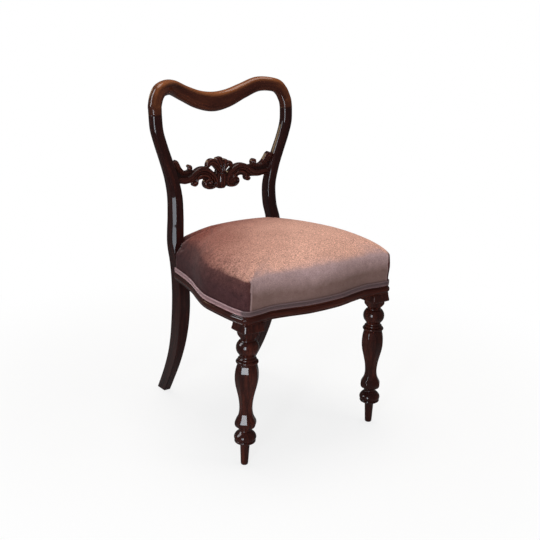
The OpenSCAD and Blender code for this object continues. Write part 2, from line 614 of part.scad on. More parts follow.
module lengthwise_webbing() color(hemp) difference() {
    for (x = long_places) translate([x - web_w / 2, web_front, rail_top])
        cube([web_w, web_back - web_front, web_t]);
    at_web_tacks() tack_hole();
}
module crosswise_webbing() color(hemp) difference() {
    for (y = cross_places) translate([-web_reach(y), y - web_w / 2, rail_top + web_t])
        cube([2 * web_reach(y), web_w, web_t]);
    at_web_tacks() tack_hole();
}
module webbing_tacks() color(steel) at_web_tacks() tack();
hessian_z = rail_top + 2 * web_t + tack_head + fit;
module hessian() color(hemp) translate([0, 0, hessian_z]) linear_extrude(hessian_t)
    polygon(seat_outline(-seat_gap, hessian_z, rail_t / 4, back_rail_rear - rail_t / 4));
module hair_stuffing() color(hair) intersection() {
    skin(seat_rings(cover_out + seat_gap, cover_foot, back_swell));
    translate([-seat_front_w, front_y - over - seat_swell, hessian_z + hessian_t + seat_gap])
        cube([2 * seat_front_w, chair_d, chair_h]);
}
module seat_cover() color(velvet) difference() {
    skin(concat(reversed(seat_rings(cover_t, cover_foot, back_swell)), seat_rings(0, cover_foot, back_swell)));
    // Round the stiles the cover is cut off where it meets the rails
    translate([0, 0, cover_foot - over]) linear_extrude(rail_top + seat_gap - cover_foot + over)
        for (side = [0, 1]) mirror([side, 0]) {
            notch_x = stile_inner(cover_foot) - cover_out - over;
            notch_y = stile_front - 3 * cover_out;
            translate([notch_x, notch_y]) square([side_x_back + cover_out / 2 - notch_x, stile_d]);
            translate([notch_x, notch_y]) square([stile_w, back_rail_rear + seat_gap - notch_y]);
        }
    at_cover_tacks() tack_hole();
}
module cover_tacks() color(steel) at_cover_tacks() tack();

gimp_back = cover_tack_out + tack_head + fit;
gimp_shares = [[0, 0], [0.7, 0.03], [1, 0.12], [1, 0.5], [0.8, 0.62], [1, 0.72], [1, 0.9], [0.7, 1], [0, 1]];
module seat_gimp() color(braid) along_plan(1 - len(half_plan), len(half_plan) - 1,
    [for (s = gimp_shares) [gimp_back + s[0] * gimp_t, cover_foot + s[1] * gimp_h]]);
module back_gimp() color(braid) {
    half = stile_inner(cover_foot) - seat_gap;
    rear = back_rail_rear + gimp_back;
    translate([-half, 0, 0]) rotate([90, 0, 90]) linear_extrude(2 * half)
        polygon([for (s = gimp_shares) [rear + s[0] * gimp_t, cover_foot + s[1] * gimp_h]]);
}

module dust_cloth() color(black_cloth) translate([0, 0, rail_z - dust_t]) difference() {
    linear_extrude(dust_t) difference() {
        polygon(seat_outline(-dust_in, rail_z, dust_in / 3, back_rail_rear - dust_in));
        for (side = [-1, 1]) translate([side * leg_x, leg_y]) square(block_w + dust_in / 3, center = true);
    }
    translate([0, 0, dust_t - rail_z]) at_dust_tacks() mirror([0, 0, 1]) tack_hole();
}
module dust_cloth_tacks() color(steel) at_dust_tacks() mirror([0, 0, 1]) tack();

crest_rail();
left_stile();
right_stile();
mid_rail();
left_front_leg();
right_front_leg();
front_seat_rail();
left_seat_rail();
right_seat_rail();
back_seat_rail();
front_moulding();
left_moulding();
right_moulding();
crest_dowels();
front_rail_dowels();
side_rail_dowels();
back_rail_dowels();
left_front_corner_block();
right_front_corner_block();
left_back_corner_block();
right_back_corner_block();
block_screws();
lengthwise_webbing();
crosswise_webbing();
webbing_tacks();
hessian();
hair_stuffing();
seat_cover();
cover_tacks();
seat_gimp();
back_gimp();
dust_cloth();
dust_cloth_tacks();
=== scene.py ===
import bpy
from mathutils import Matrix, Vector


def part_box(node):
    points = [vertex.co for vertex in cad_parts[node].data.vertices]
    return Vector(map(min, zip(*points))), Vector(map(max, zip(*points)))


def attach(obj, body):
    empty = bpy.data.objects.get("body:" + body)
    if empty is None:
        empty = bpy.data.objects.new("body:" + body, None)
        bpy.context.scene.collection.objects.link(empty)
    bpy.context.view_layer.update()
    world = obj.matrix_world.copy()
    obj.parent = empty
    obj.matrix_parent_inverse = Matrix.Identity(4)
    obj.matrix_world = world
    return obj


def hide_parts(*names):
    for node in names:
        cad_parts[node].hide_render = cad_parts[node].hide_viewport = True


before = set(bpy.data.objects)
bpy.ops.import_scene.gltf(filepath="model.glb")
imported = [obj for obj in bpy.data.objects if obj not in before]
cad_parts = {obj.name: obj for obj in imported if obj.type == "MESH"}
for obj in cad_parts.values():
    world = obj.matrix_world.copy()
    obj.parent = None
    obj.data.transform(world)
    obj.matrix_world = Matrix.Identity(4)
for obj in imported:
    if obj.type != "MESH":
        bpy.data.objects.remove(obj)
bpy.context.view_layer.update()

import math

import bmesh
import bpy
import numpy as np
from mathutils import Matrix, Vector
from mathutils.kdtree import KDTree

# Camera
# It stands at the left front, a little above the seat's level, with a short tele lens on a square frame.


def placed(name, data):
    """A new object of the scene."""
    piece = bpy.data.objects.new(name, data)
    bpy.context.scene.collection.objects.link(piece)
    return piece


camera_place = Vector((-1.32845, -1.78732, 1.07247))
camera_yaw = math.radians(37.39)
camera_pitch = math.radians(16.80)
camera_roll = math.radians(1.454)
ahead = Vector((math.sin(camera_yaw) * math.cos(camera_pitch),
                math.cos(camera_yaw) * math.cos(camera_pitch), -math.sin(camera_pitch)))
level = Vector((math.cos(camera_yaw), -math.sin(camera_yaw), 0))
above = level.cross(ahead)
camera_right = level * math.cos(camera_roll) + above * math.sin(camera_roll)
camera_up = above * math.cos(camera_roll) - level * math.sin(camera_roll)
lens = bpy.data.cameras.new("camera")
lens.lens = 58.70
lens.sensor_width = 36
camera = placed("camera", lens)
camera.matrix_world = (Matrix.Translation(camera_place)
                       @ Matrix((camera_right, camera_up, -ahead)).transposed().to_4x4())
bpy.context.scene.camera = camera

# Stiles
# Each is one length of mahogany, sawn from foot to shoulder: a sabre leg below the seat, an S curve above it.
# The outer front corner is chamfered above the seat, down to a lamb's tongue, and higher up every edge rounds off.
rail_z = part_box("front_seat_rail")[0].z
rail_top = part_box("front_seat_rail")[1].z
joint_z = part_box("right_stile")[1].z
stile_out = 0.153
stile_wide = 0.032
stile_deep = 0.040
stile_mid_y = 0.147
shoulder_out = 0.209
crest_back = 0.077
# Height, outward, back, width, depth and edge radius, as shares
leg_shares = [
    (0, -0.21, 1, 0.62, 0.97, 0.06), (0.125, -0.175, 0.748, 0.635, 1, 0.06),
    (0.25, -0.147, 0.515, 0.705, 1.015, 0.06), (0.375, -0.124, 0.322, 0.775, 1.04, 0.06),
    (0.5, -0.096, 0.172, 0.88, 1.06, 0.06), (0.625, -0.073, 0.071, 0.975, 1.08, 0.06),
    (0.75, -0.062, 0.015, 1.015, 1.09, 0.06), (0.875, -0.045, -0.004, 1.01, 1.07, 0.06)]
foot_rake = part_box("right_stile")[1].y - leg_shares[0][4] * stile_deep / 2 - stile_mid_y
back_shares = [
    (0, 0, 0, 1, 1, 0.06), (0.098, 0.075, 0.018, 1, 0.94, 0.06), (0.177, 0.16, 0.047, 1.01, 0.91, 0.07),
    (0.231, 0.184, 0.068, 1.015, 0.9, 0.08), (0.294, 0.158, 0.096, 1.02, 0.895, 0.1),
    (0.383, 0.053, 0.204, 1.01, 0.887, 0.14), (0.5, 0.035, 0.265, 1.01, 0.87, 0.2),
    (0.608, 0.196, 0.27, 1.015, 0.83, 0.29), (0.716, 0.469, 0.266, 1.02, 0.8, 0.36),
    (0.824, 0.77, 0.257, 1.01, 0.795, 0.39), (0.913, 0.965, 0.268, 1, 0.795, 0.39), (1, 1, 0.303, 1, 0.795, 0.39)]
chamfer_wide = 0.0088
tongue_z = 0.440
tongue_rise = 0.030
tongue_step = 0.005
chamfer_end = 0.58
chamfer_fade = 0.12
end_round = 0.0008


def smooth_rows(rows, steps):
    """A smooth curve through rows of numbers, with a number of steps from each row to the next."""
    rows = np.array(rows, float)
    padded = np.vstack([rows[:1], rows, rows[-1:]])
    t = np.linspace(0, 1, steps, endpoint=False)[:, None]
    spans = [(2 * b + (c - a) * t + (2 * a - 5 * b + 4 * c - d) * t**2 + (3 * b - a - 3 * c + d) * t**3) / 2
             for a, b, c, d in zip(padded, padded[1:], padded[2:], padded[3:])]
    return np.vstack(spans + [rows[-1:]])


def eased(value, start, length):
    """0 before start, 1 past start + length, and a smooth step between them."""
    share = np.clip((value - start) / length, 0, 1)
    return share * share * (3 - 2 * share)


def corner_points(corner, coming, leaving, size, cut, soft=0.001):
    """One corner of a section, from a quarter round, cut 0, to a flat chamfer with soft arrises, cut 1."""
    start, end = corner - coming * size, corner + leaving * size
    centre = start + leaving * size
    angles = np.linspace(0, math.pi / 2, 9)[:, None]
    arc = centre - leaving * size * np.cos(angles) + coming * size * np.sin(angles)
    along = (end - start) / np.linalg.norm(end - start)
    t = np.linspace(0, 1, 4)[:, None]
    bends = [(1 - t)**2 * a + 2 * t * (1 - t) * b + t**2 * c
             for a, b, c in ((start - coming * soft, start, start + along * soft),
                             (end - along * soft, end, end + leaving * soft))]
    flat = np.vstack([bends[0], [(start + end) / 2], bends[1]])
    points = (1 - cut) * arc + cut * flat
    return np.vstack([[points[0] - coming * 2 * soft], points, [points[-1] + leaving * 2 * soft]])


def section(width, depth, sizes, cuts=(0, 0, 0, 0)):
    """A four-cornered section, counter-clockwise: outer back, inner back, inner front and outer front corner."""
    ways = np.array([(0, 1), (-1, 0), (0, -1), (1, 0), (0, 1)], float)
    corners = np.array([(1, 1), (-1, 1), (-1, -1), (1, -1)]) * np.array([width, depth]) / 2
    return np.vstack([corner_points(corners[k], ways[k], ways[k + 1], sizes[k], cuts[k]) for k in range(4)])


def softened(rings, edge):
    """The same rings with a small round at both ends."""
    def rounded(end, near):
        middle, inward = end.mean(0), near.mean(0) - end.mean(0)
        size = np.linalg.norm(end - middle, axis=1).mean()
        return [middle + (end - middle) * (1 - edge / size), end + inward / np.linalg.norm(inward) * edge]
    return rounded(rings[0], rings[1]) + rings[1:-1] + rounded(rings[-1], rings[-2])[::-1]


def raised(line, z):
    """A flat line or outline set at a height, or at one height for each of its points."""
    return np.column_stack([line, np.full(len(line), z)])


def surface(name, rings):
    """A closed mesh object through rings of equally many points. Its grain runs from the first ring to the last."""
    rings = np.array(rings)
    count, around = rings.shape[:2]
    closed = np.concatenate([rings, rings[:, :1]], axis=1)
    across = np.concatenate([[0], np.cumsum(np.linalg.norm(np.diff(closed, axis=1), axis=2).mean(0))])
    along = np.concatenate([[0], np.cumsum(np.linalg.norm(np.diff(rings.mean(1), axis=0), axis=1))])
    faces, places = [], []
    for j in range(count - 1):
        for i in range(around):
            k = (i + 1) % around
            faces.append((j * around + i, j * around + k, (j + 1) * around + k, (j + 1) * around + i))
            places += [(across[i], along[j]), (across[i + 1], along[j]),
                       (across[i + 1], along[j + 1]), (across[i], along[j + 1])]
    for j in (0, count - 1):
        faces.append([j * around + i for i in range(around)])
        places += [(across[i], along[j]) for i in range(around)]
    mesh = bpy.data.meshes.new(name)
    mesh.from_pydata(rings.reshape(-1, 3).tolist(), [], faces)
    mesh.uv_layers.new(name="UVMap").data.foreach_set("uv", np.array(places, np.float32).ravel())
    shape = bmesh.new()
    shape.from_mesh(mesh)
    bmesh.ops.remove_doubles(shape, verts=shape.verts, dist=1e-6)
    bmesh.ops.recalc_face_normals(shape, faces=shape.faces)
    shape.to_mesh(mesh)
    shape.free()
    mesh.polygons.foreach_set("use_smooth", [True] * len(mesh.polygons))
    return placed(name, mesh)


def mirrored(rings):
    """Rings on the other side of x = 0, in an order that keeps their turning."""
    return [(ring * [-1, 1, 1])[::-1] for ring in rings]


def fitted(piece, material, node):
    """Gives a piece its finish and its body, and hides the plain solids it stands for."""
    piece.data.materials.clear()
    piece.data.materials.append(material)
    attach(piece, "root")
    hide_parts(node)
    return piece


class Socket:
    """An output in a material's nodes. Sums, differences and products of these add Math nodes."""

    def __init__(self, tree, output=None):
        self.tree = tree
        self.output = output

    def node(self, kind, settings=None, inputs=None, output=0):
        """Any node, from its type, its settings, and the values or links of its sockets."""
        made = self.tree.nodes.new(kind)
        for name, value in (settings or {}).items():
            if name == "stops":
                ends = made.color_ramp.elements
                ends[0].position, ends[0].color = value[0]
                ends[1].position, ends[1].color = value[-1]
                for place, tone in value[1:-1]:
                    ends.new(place).color = tone
            else:
                setattr(made, name, value)
        for name, value in (inputs or {}).items():
            if isinstance(value, Socket):
                self.tree.links.new(value.output, made.inputs[name])
            else:
                made.inputs[name].default_value = value
        return Socket(self.tree, made.outputs[output])

    def maths(operation, turned=False):
        def result(self, other):
            first, second = (other, self) if turned else (self, other)
            return self.node("ShaderNodeMath", {"operation": operation}, {0: first, 1: second})
        return result

    __add__ = __radd__ = maths("ADD")
    __sub__, __rsub__ = maths("SUBTRACT"), maths("SUBTRACT", turned=True)
    __mul__ = __rmul__ = maths("MULTIPLY")

    def ramp(self, *stops):
        """A colour for each value, from stops that each have a value and a colour."""
        return self.node("ShaderNodeValToRGB", {"stops": [(value, (*tone, 1)) for value, tone in stops]}, {"Fac": self})

    def mix(self, first, second):
        """The first colour where this is 0, and the second where it is 1."""
        first, second = [tone if isinstance(tone, Socket) else (*tone, 1) for tone in (first, second)]
        return self.node("ShaderNodeMix", {"data_type": "RGBA"}, {0: self, 6: first, 7: second}, output=2)

    def spread(self, low, high, to_low=0, to_high=1, smooth=False):
        """The range from low to high made the range from to_low to to_high."""
        return self.node("ShaderNodeMapRange", {"interpolation_type": "SMOOTHSTEP" if smooth else "LINEAR"}, {
            "Value": self, "From Min": low, "From Max": high, "To Min": to_low, "To Max": to_high})

    def noise(self, scale, detail, roughness=0.5):
        return self.node("ShaderNodeTexNoise", {}, {
            "Vector": self, "Scale": scale, "Detail": detail, "Roughness": roughness})

    def bump(self, strength, distance):
        return self.node("ShaderNodeBump", {}, {"Strength": strength, "Distance": distance, "Height": self})

    def axis(self, number):
        return self.node("ShaderNodeSeparateXYZ", {}, {"Vector": self}, output=number)

    def attribute(self, name):
        return self.node("ShaderNodeAttribute", {"attribute_name": name}, output=2)


def new_finish(name, on_map=False, **constants):
    """A new material's pattern place, and a function that lays on what changes over it and gives the material."""
    material = bpy.data.materials.new(name)
    material.use_nodes = True
    tree = material.node_tree
    shader = tree.nodes["Principled BSDF"]
    for socket, value in constants.items():
        shader.inputs[socket.replace("_", " ")].default_value = value

    def lay(tone=None, roughness=None, bump=None):
        for socket, value in (("Base Color", tone), ("Roughness", roughness), ("Normal", bump)):
            if value:
                tree.links.new(value.output, shader.inputs[socket])
        return material
    return Socket(tree).node("ShaderNodeTexCoord", output=2 if on_map else 3), lay


def grain_noise(place, along, share, scale, detail):
    """Noise stretched along an axis, where only a share of its fineness is left."""
    stretch = [share if axis == along else 1 for axis in "XYZ"]
    return place.node("ShaderNodeMapping", {}, {"Vector": place, "Scale": stretch}).noise(scale, detail, 0.6)


def polished_mahogany(name, deep, ground, bright, along=None, bleach=None):
    """French-polished mahogany. Its grain follows the piece's map, or the axis that along names.

    Where the piece has a mark of painted light and wear, the wood is painted as pale there as that mark's pale colour.
    """
    place, lay = new_finish(name, on_map=along is None, Coat_Weight=0.8, Coat_Roughness=0.05, Coat_IOR=1.35,
                            Specular_IOR_Level=0.02)
    axis = along or "Y"
    figure = grain_noise(place, axis, 0.15, 28, 3)
    streaks = grain_noise(place, axis, 0.05, 190, 5)
    pores = grain_noise(place, axis, 0.05, 900, 2).spread(0.60, 0.72, 0, 0.5, smooth=True)
    tone = figure * 0.55 + streaks * 0.45
    wood = tone.ramp((0.30, deep), (0.50, ground), (0.72, bright))
    if bleach:
        wood = (place.attribute("bleached") * (0.45 + tone * 0.7)).mix(wood, bleach)
    return lay(pores.mix(wood, [c * 0.35 for c in deep]), 0.30 + streaks * 0.16, (streaks - pores).bump(0.06, 0.0002))


sides = (("right", list), ("left", mirrored))
stile_rows = [(low + s[0] * high, stile_out + s[1] * (shoulder_out - stile_out), stile_mid_y + s[2] * rake,
               s[3] * stile_wide, s[4] * stile_deep, s[5] * stile_wide)
              for low, high, rake, shares in ((0, rail_z, foot_rake, leg_shares),
                                              (rail_z, joint_z - rail_z, crest_back, back_shares)) for s in shares]
stile_line = smooth_rows(stile_rows, 10)
stile_rings = []
for z, x, y, wide, deep, edge in stile_line:
    tongue = eased(z, tongue_z, tongue_rise)
    cut = eased(z, tongue_z, tongue_step) * (1 - eased(z, chamfer_end, chamfer_fade))
    outline = section(wide, deep, [edge, edge, edge, max(edge, chamfer_wide * tongue)], [0, 0, 0, cut])
    stile_rings.append(raised(outline + [x, y], z))
stile_rings = softened(stile_rings, end_round)
dark_mahogany = polished_mahogany("dark_mahogany", (0.008, 0.0022, 0.0022), (0.020, 0.0048, 0.004),
                                  (0.050, 0.011, 0.007))
for side, turning in sides:
    fitted(surface(side + "_stile_shaped", turning(stile_rings)), dark_mahogany, side + "_stile")


def stile_at(z, column):
    """A value of the stile's line at a height: 1 for its outward place, 2 for y, 3 for its width, 4 for its depth."""
    return float(np.interp(z, stile_line[:, 0], stile_line[:, column]))


def stile_inner(z):
    return stile_at(z, 1) - stile_at(z, 3) / 2


def stile_face(z):
    """Where the stile's front face stands at a height."""
    return stile_at(z, 2) - stile_at(z, 4) / 2


# Crest rail
# The yoke of the back, sawn from thick mahogany of a warmer brown and shaped to a full round section.
# It stands on the stiles at the shoulders, where the colour changes at the dowelled joint.
chair_high = 0.880
crest_wide = 0.0525
crest_thick = 0.032
crest_dip = 0.0435
# Half the section's width where the yoke is highest
crest_top_half = 0.37 * crest_wide
crest_rise = chair_high - joint_z - crest_top_half
# Outward, rise, back, and how far the section has grown from the joint's to the middle's, as shares
crest_shares = [(1, 0, 0.303, 0), (0.997, 0.21, 0.33, 0.02), (0.99, 0.368, 0.364, 0.05),
                (0.945, 0.729, 0.44, 0.13), (0.86, 0.966, 0.545, 0.24), (0.663, 1, 0.82, 0.36),
                (0.447, 0.712, 0.96, 0.48), (0.221, 0.42, 1, 0.8)]
joint_wide, joint_deep = stile_line[-1][3:5]
crest_rows = [(s[0] * shoulder_out, stile_mid_y + s[2] * crest_back, joint_z + s[1] * crest_rise,
               joint_wide + s[3] * (crest_wide - joint_wide), joint_deep + s[3] * (crest_thick - joint_deep))
              for s in crest_shares]
crest_middle = (0, stile_mid_y + crest_back, joint_z + crest_rise - crest_dip, crest_wide, crest_thick)
crest_rows += [crest_middle] + [(-r[0],) + r[1:] for r in reversed(crest_rows)]
joint_edge, middle_edge = 0.0125, 0.0145
crest_end_round = 0.0005


def places_of(piece, what="co"):
    """The places of a piece's points as an array, or their normals."""
    values = np.empty(len(piece.data.vertices) * 3, np.float32)
    piece.data.vertices.foreach_get(what, values)
    return values.reshape(-1, 3).astype(float)


def painted(piece, name, values):
    """Stores a number at each of the piece's points, for its finish to read."""
    piece.data.attributes.new(name, "FLOAT", "POINT").data.foreach_set("value", values.astype(np.float32))


def directions(line):
    """The way that a line runs at each of its points."""
    ways = np.gradient(line, axis=0)
    return ways / np.linalg.norm(ways, axis=1)[:, None]


# The round section is carried along the yoke's line, kept upright towards +Y and level at the joints
crest_line = smooth_rows(crest_rows, 10)
crest_ways = directions(crest_line[:, :3])
crest_ways[0], crest_ways[-1] = (0, 0, 1), (0, 0, -1)
crest_rings = []
for row, way in zip(crest_line, crest_ways):
    back = np.array([0, 1, 0]) - way * way[1]
    back /= np.linalg.norm(back)
    edge = joint_edge + (middle_edge - joint_edge) * (row[3] - joint_wide) / (crest_wide - joint_wide)
    outline = section(row[3], row[4], [edge] * 4)
    crest_rings.append(row[:3] + np.outer(outline[:, 0], np.cross(back, way)) + np.outer(outline[:, 1], back))
crest = surface("crest_rail_shaped", softened(crest_rings, crest_end_round))
normals = places_of(crest, "normal")
# Painted light: what faces up is painted paler, as lit from above, and less so where it faces sideways
painted(crest, "bleached", eased(normals[:, 2], 0.0, 0.85) * (1 - 0.6 * eased(np.abs(normals[:, 0]), 0.3, 0.4)))
warm_mahogany = polished_mahogany("warm_mahogany", (0.018, 0.0045, 0.003), (0.042, 0.0105, 0.006),
                                  (0.085, 0.023, 0.010), bleach=(0.26, 0.085, 0.027))
fitted(crest, warm_mahogany, "crest_rail")

# Mid rail
# One bowed board, sawn out and carved: two reeded scroll arms that end in volutes, with a palmette and a
# husk between them. Each arm ends in a fluted leaf on its stile, and a tenon holds it there.
mid_z = 0.633
mid_half = stile_inner(mid_z)
mid_end_y = stile_at(mid_z, 2)
mid_bow = 0.013
carving_back = 0.011
carving_voxel = 0.0008
flute_wide = 0.22
eye_points = 20
# Centre line, width and relief of each carved member, in millimetres from the middle of the rail
arm_band = [(166, -2, 16, 4), (150, -8, 16, 5), (134, -10, 17, 5.5), (118, -12.5, 18, 6), (104, -10, 18, 6),
            (90, -2, 18, 6.5), (79, 6, 18, 7), (68, 9.5, 18.5, 7), (56, 9.5, 18.5, 7.5), (46, 6.5, 18, 8),
            (36, 0, 17, 8.5), (27, -8, 16, 8.5), (20, -19, 14, 9), (18, -30, 12, 9), (24, -37.5, 11, 9),
            (35, -40, 10.5, 9), (46, -38, 10, 9), (53, -30.5, 9, 8.5), (51.5, -22, 8, 8), (43, -17.5, 7.5, 8),
            (34.5, -20.5, 6.5, 8), (33.5, -27, 5.5, 8)]
inner_band = [(93, -23, 4, 3), (91, -27, 6, 4), (86, -28.5, 7.5, 5), (80.5, -24.5, 8, 5.5), (79.5, -17, 8, 5.5),
              (76, -10, 8.5, 5.5), (67, -5.5, 8.5, 6), (56, -4.5, 8.5, 6.5), (46, -8, 8, 6.5), (38, -14, 6, 6)]
upper_band = [(110, 23, 5, 5), (105, 25, 7, 6), (100.5, 20.5, 8, 6), (103, 13, 8.5, 6), (113, 9, 9, 6),
              (125, 10, 10.5, 6), (136, 17, 13, 6.5), (145, 27, 16.5, 7.5), (151, 36, 17.5, 8), (155, 43, 12, 6)]
left_plume = [(0, -4, 9, 9), (8, 9, 15, 9), (17, 21, 18, 8), (27, 28, 19, 6.5), (36, 27.5, 18, 5.5),
              (42, 20.5, 14, 4.5), (42, 15, 9, 3)]
right_plume = [(0, -4, 9, 9), (7, 7, 14, 9), (14, 16, 16, 8), (22, 21, 16, 6.5), (29, 20, 14, 5.5),
               (33, 14, 11, 4.5), (33, 10, 8, 3)]
left_leaflet = [(3, -2, 6, 9), (8, 13, 8, 9), (13, 25, 9, 8), (17, 33, 9, 6), (18, 35.5, 6, 3)]
right_leaflet = [(3, -2, 6, 9), (7, 12, 8, 9), (10, 24, 9, 8), (13.5, 31.5, 9.5, 6), (14.5, 34, 6, 3)]
top_plume = [(0, -6, 10, 10), (-1, 10, 15, 9.5), (-4, 24, 19, 7.5), (-7, 33, 22, 5), (-8.5, 38, 19, 2.5),
             (-9, 40.5, 12, 1)]
husk = [(0, -3, 20, 9), (0, -8, 29, 11.5), (0, -18, 34, 13.5), (0, -30, 33, 13.5), (0, -40, 28, 12), (0, -45, 20, 9)]
ground = [(166, 18, 30, 0.5), (150, 8, 36, 0.5), (135, 0, 34, 0.5), (120, -4, 34, 0.5), (104, -4, 34, 0.5),
          (88, -4, 32, 0.5), (72, -1, 30, 0.5), (58, -2, 26, 0.5), (45, -8, 26, 0.5), (38, -18, 30, 0.5),
          (39, -28, 30, 0.5), (42, -34, 22, 0.5)]
back_ground = [(0, 12, 24, 0.5), (0, -2, 34, 0.5), (0, -20, 44, 0.5), (0, -36, 40, 0.5)]
# Place, radius and relief of the eyes of the scrolls on each side, and of the volutes' discs, in metres
scroll_eyes = ((0.0395, -0.0265, 0.0048, 0.011), (0.106, 0.019, 0.0052, 0.008), (0.087, -0.022, 0.0042, 0.008))
right_disc, left_disc = (0.036, -0.029, 0.0165, 0.0085), (0.038, -0.028, 0.0115, 0.0065)


def board_y(x):
    """Where the middle of the bowed board's thickness is."""
    return mid_end_y + mid_bow * (1 - (x / mid_half)**2)


def carved(rows, flutes=(), depth=0.0, side=1):
    """One carved member as a closed tapering form: rounded in front, flat behind, with flutes along it.

    The flutes are given by their places across it, from -1 to 1. A side of -1 mirrors it.
    """
    line = smooth_rows(rows, 6) / 1000
    across = np.linspace(-1, 1, 19)
    dome = np.sqrt(np.clip(1 - across**2 * 0.98, 0, 1))
    groove = 1 - depth * sum(np.exp(-((across - place) / flute_wide)**2) for place in flutes) * (np.abs(across) < 0.99)
    rings = []
    for (x, z, wide, relief), way in zip(line, directions(line[:, :2])):
        front = np.array([x, z]) + np.outer(across * wide / 2, [way[1], -way[0]])
        x, z = np.vstack([front, front[::-3]]).T
        depths = np.concatenate([-relief * dome * groove, np.full(len(front[::-3]), carving_back)])
        rings.append(np.column_stack([side * x, board_y(x) + depths, mid_z + z]))
    return surface("member", rings)


def boss(x, z, radius, relief, side=1):
    """A round carved boss, such as the eye of a volute."""
    turn = np.linspace(0, 2 * math.pi, eye_points, endpoint=False)
    rings = []
    for share in np.linspace(-1, 1, 9):
        size = max(math.sqrt(max(1 - share**2, 0)), 0.05) * radius
        rings.append(np.column_stack([side * (x + size * np.cos(turn)),
                                      np.full(eye_points, board_y(x) - relief * share),
                                      mid_z + z + size * np.sin(turn)]))
    return surface("member", rings)


def joined(name, pieces):
    """Several objects made one."""
    with bpy.context.temp_override(active_object=pieces[0], selected_editable_objects=pieces):
        bpy.ops.object.join()
    pieces[0].name = pieces[0].data.name = name
    return pieces[0]


def changed(piece, kind, **settings):
    """Adds a modifier to a piece, with its settings."""
    modifier = piece.modifiers.new(kind.lower(), kind)
    for name, value in settings.items():
        setattr(modifier, name, value)
    return modifier


def baked(piece):
    """The piece's mesh with its modifiers worked in, and the modifiers gone."""
    evaluated = piece.evaluated_get(bpy.context.evaluated_depsgraph_get())
    mesh = bpy.data.meshes.new_from_object(evaluated)
    piece.modifiers.clear()
    piece.data = mesh
    return piece


members = []
for side, plume, leaflet in ((1, right_plume, right_leaflet), (-1, left_plume, left_leaflet)):
    members += [carved(rows, flutes, depth, side) for rows, flutes, depth in (
        (arm_band, (-0.42,), 0.5), (inner_band, (), 0), (upper_band, (-0.6, 0, 0.6), 0.5),
        (plume, (-0.4, 0.4), 0.4), (leaflet, (), 0), (ground, (), 0))]
    members += [boss(*eye, side) for eye in scroll_eyes]
members += [boss(*right_disc), boss(*left_disc, -1),
            carved(top_plume, (-0.45, 0.45), 0.45), carved(husk, (-0.62, 0, 0.62), 0.25), carved(back_ground)]
mid_rail = joined("mid_rail_carved", members)
changed(mid_rail, "REMESH", mode="VOXEL", voxel_size=carving_voxel, use_smooth_shade=True)
changed(mid_rail, "SMOOTH", factor=0.5, iterations=3)
baked(mid_rail)
# The carving's ridges are painted paler, partly as rubbed wear and partly as a painted highlight in place of the
# relief's shading: a point is a ridge by how far it stands off its smoothed surface
rubbed_depth = 0.0007
calming_turns = 14
edges = np.empty(len(mid_rail.data.edges) * 2, np.int32)
mid_rail.data.edges.foreach_get("vertices", edges)
carved_places = places_of(mid_rail)
calm = carved_places.copy()
neighbours = np.bincount(edges, minlength=len(calm))[:, None]
for turn in range(calming_turns):
    total = np.zeros_like(calm)
    for here, there in ((edges[0::2], edges[1::2]), (edges[1::2], edges[0::2])):
        np.add.at(total, here, calm[there])
    calm = total / neighbours
stand_off = ((carved_places - calm) * places_of(mid_rail, "normal")).sum(1)
painted(mid_rail, "bleached", np.clip(stand_off / rubbed_depth, 0, 1))
carved_mahogany = polished_mahogany("carved_mahogany", (0.007, 0.002, 0.0018), (0.019, 0.0043, 0.0034),
                                    (0.048, 0.010, 0.0065), along="X", bleach=(0.095, 0.025, 0.016))
fitted(mid_rail, carved_mahogany, "mid_rail")

# Front legs
# Turned from square mahogany: a peg foot, a bun, an eight-sided baluster cut flat after turning, a ring, a
# ball and a cove under a square step and block. The block runs up between the rails as the corner post.
leg_x, leg_y = 0.2015, -0.2345
leg_splay = math.radians(0.6)
block_side = 0.057
block_flare = 0.0025
block_low = 0.3465
step_side = 0.038
step_low = 0.3385
post_side = 0.048
block_out = 0.0065
corner_round = 0.011
corner_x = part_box("right_front_leg")[1].x - block_out
corner_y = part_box("right_front_leg")[0].y + block_out
# Height and radius in millimetres; each list is a smooth stretch, and a new list starts at an edge
leg_stretches = [
    [(0, 6.6), (0.7, 8.0), (2.5, 8.8), (10, 9.4), (30, 10.4), (54, 11.7)],
    [(54, 11.7), (56.5, 13.5), (59, 17.0), (60.5, 21.5), (61, 23.6)],
    [(61, 23.6), (62.2, 25.2), (64.3, 25.9), (66.4, 25.2), (67.4, 23.8)],
    [(67.4, 23.8), (69, 25.6), (73.5, 27.1), (79, 26.0), (84, 22.6), (88, 18.4), (90.5, 16.4)],
    [(90.5, 16.4), (91.5, 15.0), (94.5, 14.6), (97.5, 15.4)],
    [(97.5, 16.0), (99, 20.0), (102, 23.6), (106, 25.6), (111, 26.3), (116, 25.6), (121, 23.2), (127, 20.1),
     (134, 17.7), (143, 16.2), (152, 15.9), (163, 16.6), (175, 18.3), (187, 20.9), (199, 23.8), (211, 26.6),
     (223, 28.3), (234, 28.7), (244, 28.0), (253, 26.4), (259, 24.8), (264, 22.2)],
    [(264, 21.0), (265, 24.4), (267, 26.6), (269.2, 27.1), (271.3, 26.3), (272.6, 24.0), (273, 21.8)],
    [(273, 21.8), (275, 22.9), (277.4, 22.4), (279.2, 20.6), (280, 18.9)],
    [(280, 18.9), (282, 18.3), (284.5, 18.6)],
    [(284.5, 18.6), (288, 21.0), (293, 24.6), (299, 26.9), (305, 27.4), (311, 26.4), (316.5, 23.8), (320.5, 20.8)],
    [(320.5, 20.8), (321.4, 18.4), (323, 17.2), (325, 17.0)],
    [(325, 17.0), (327, 17.8), (329.5, 19.6), (332, 22.0), (335, 24.6), (338, 26.2), (341, 26.8), (346.6, 27.0)]]
eight_sided, pommel = 5, 11
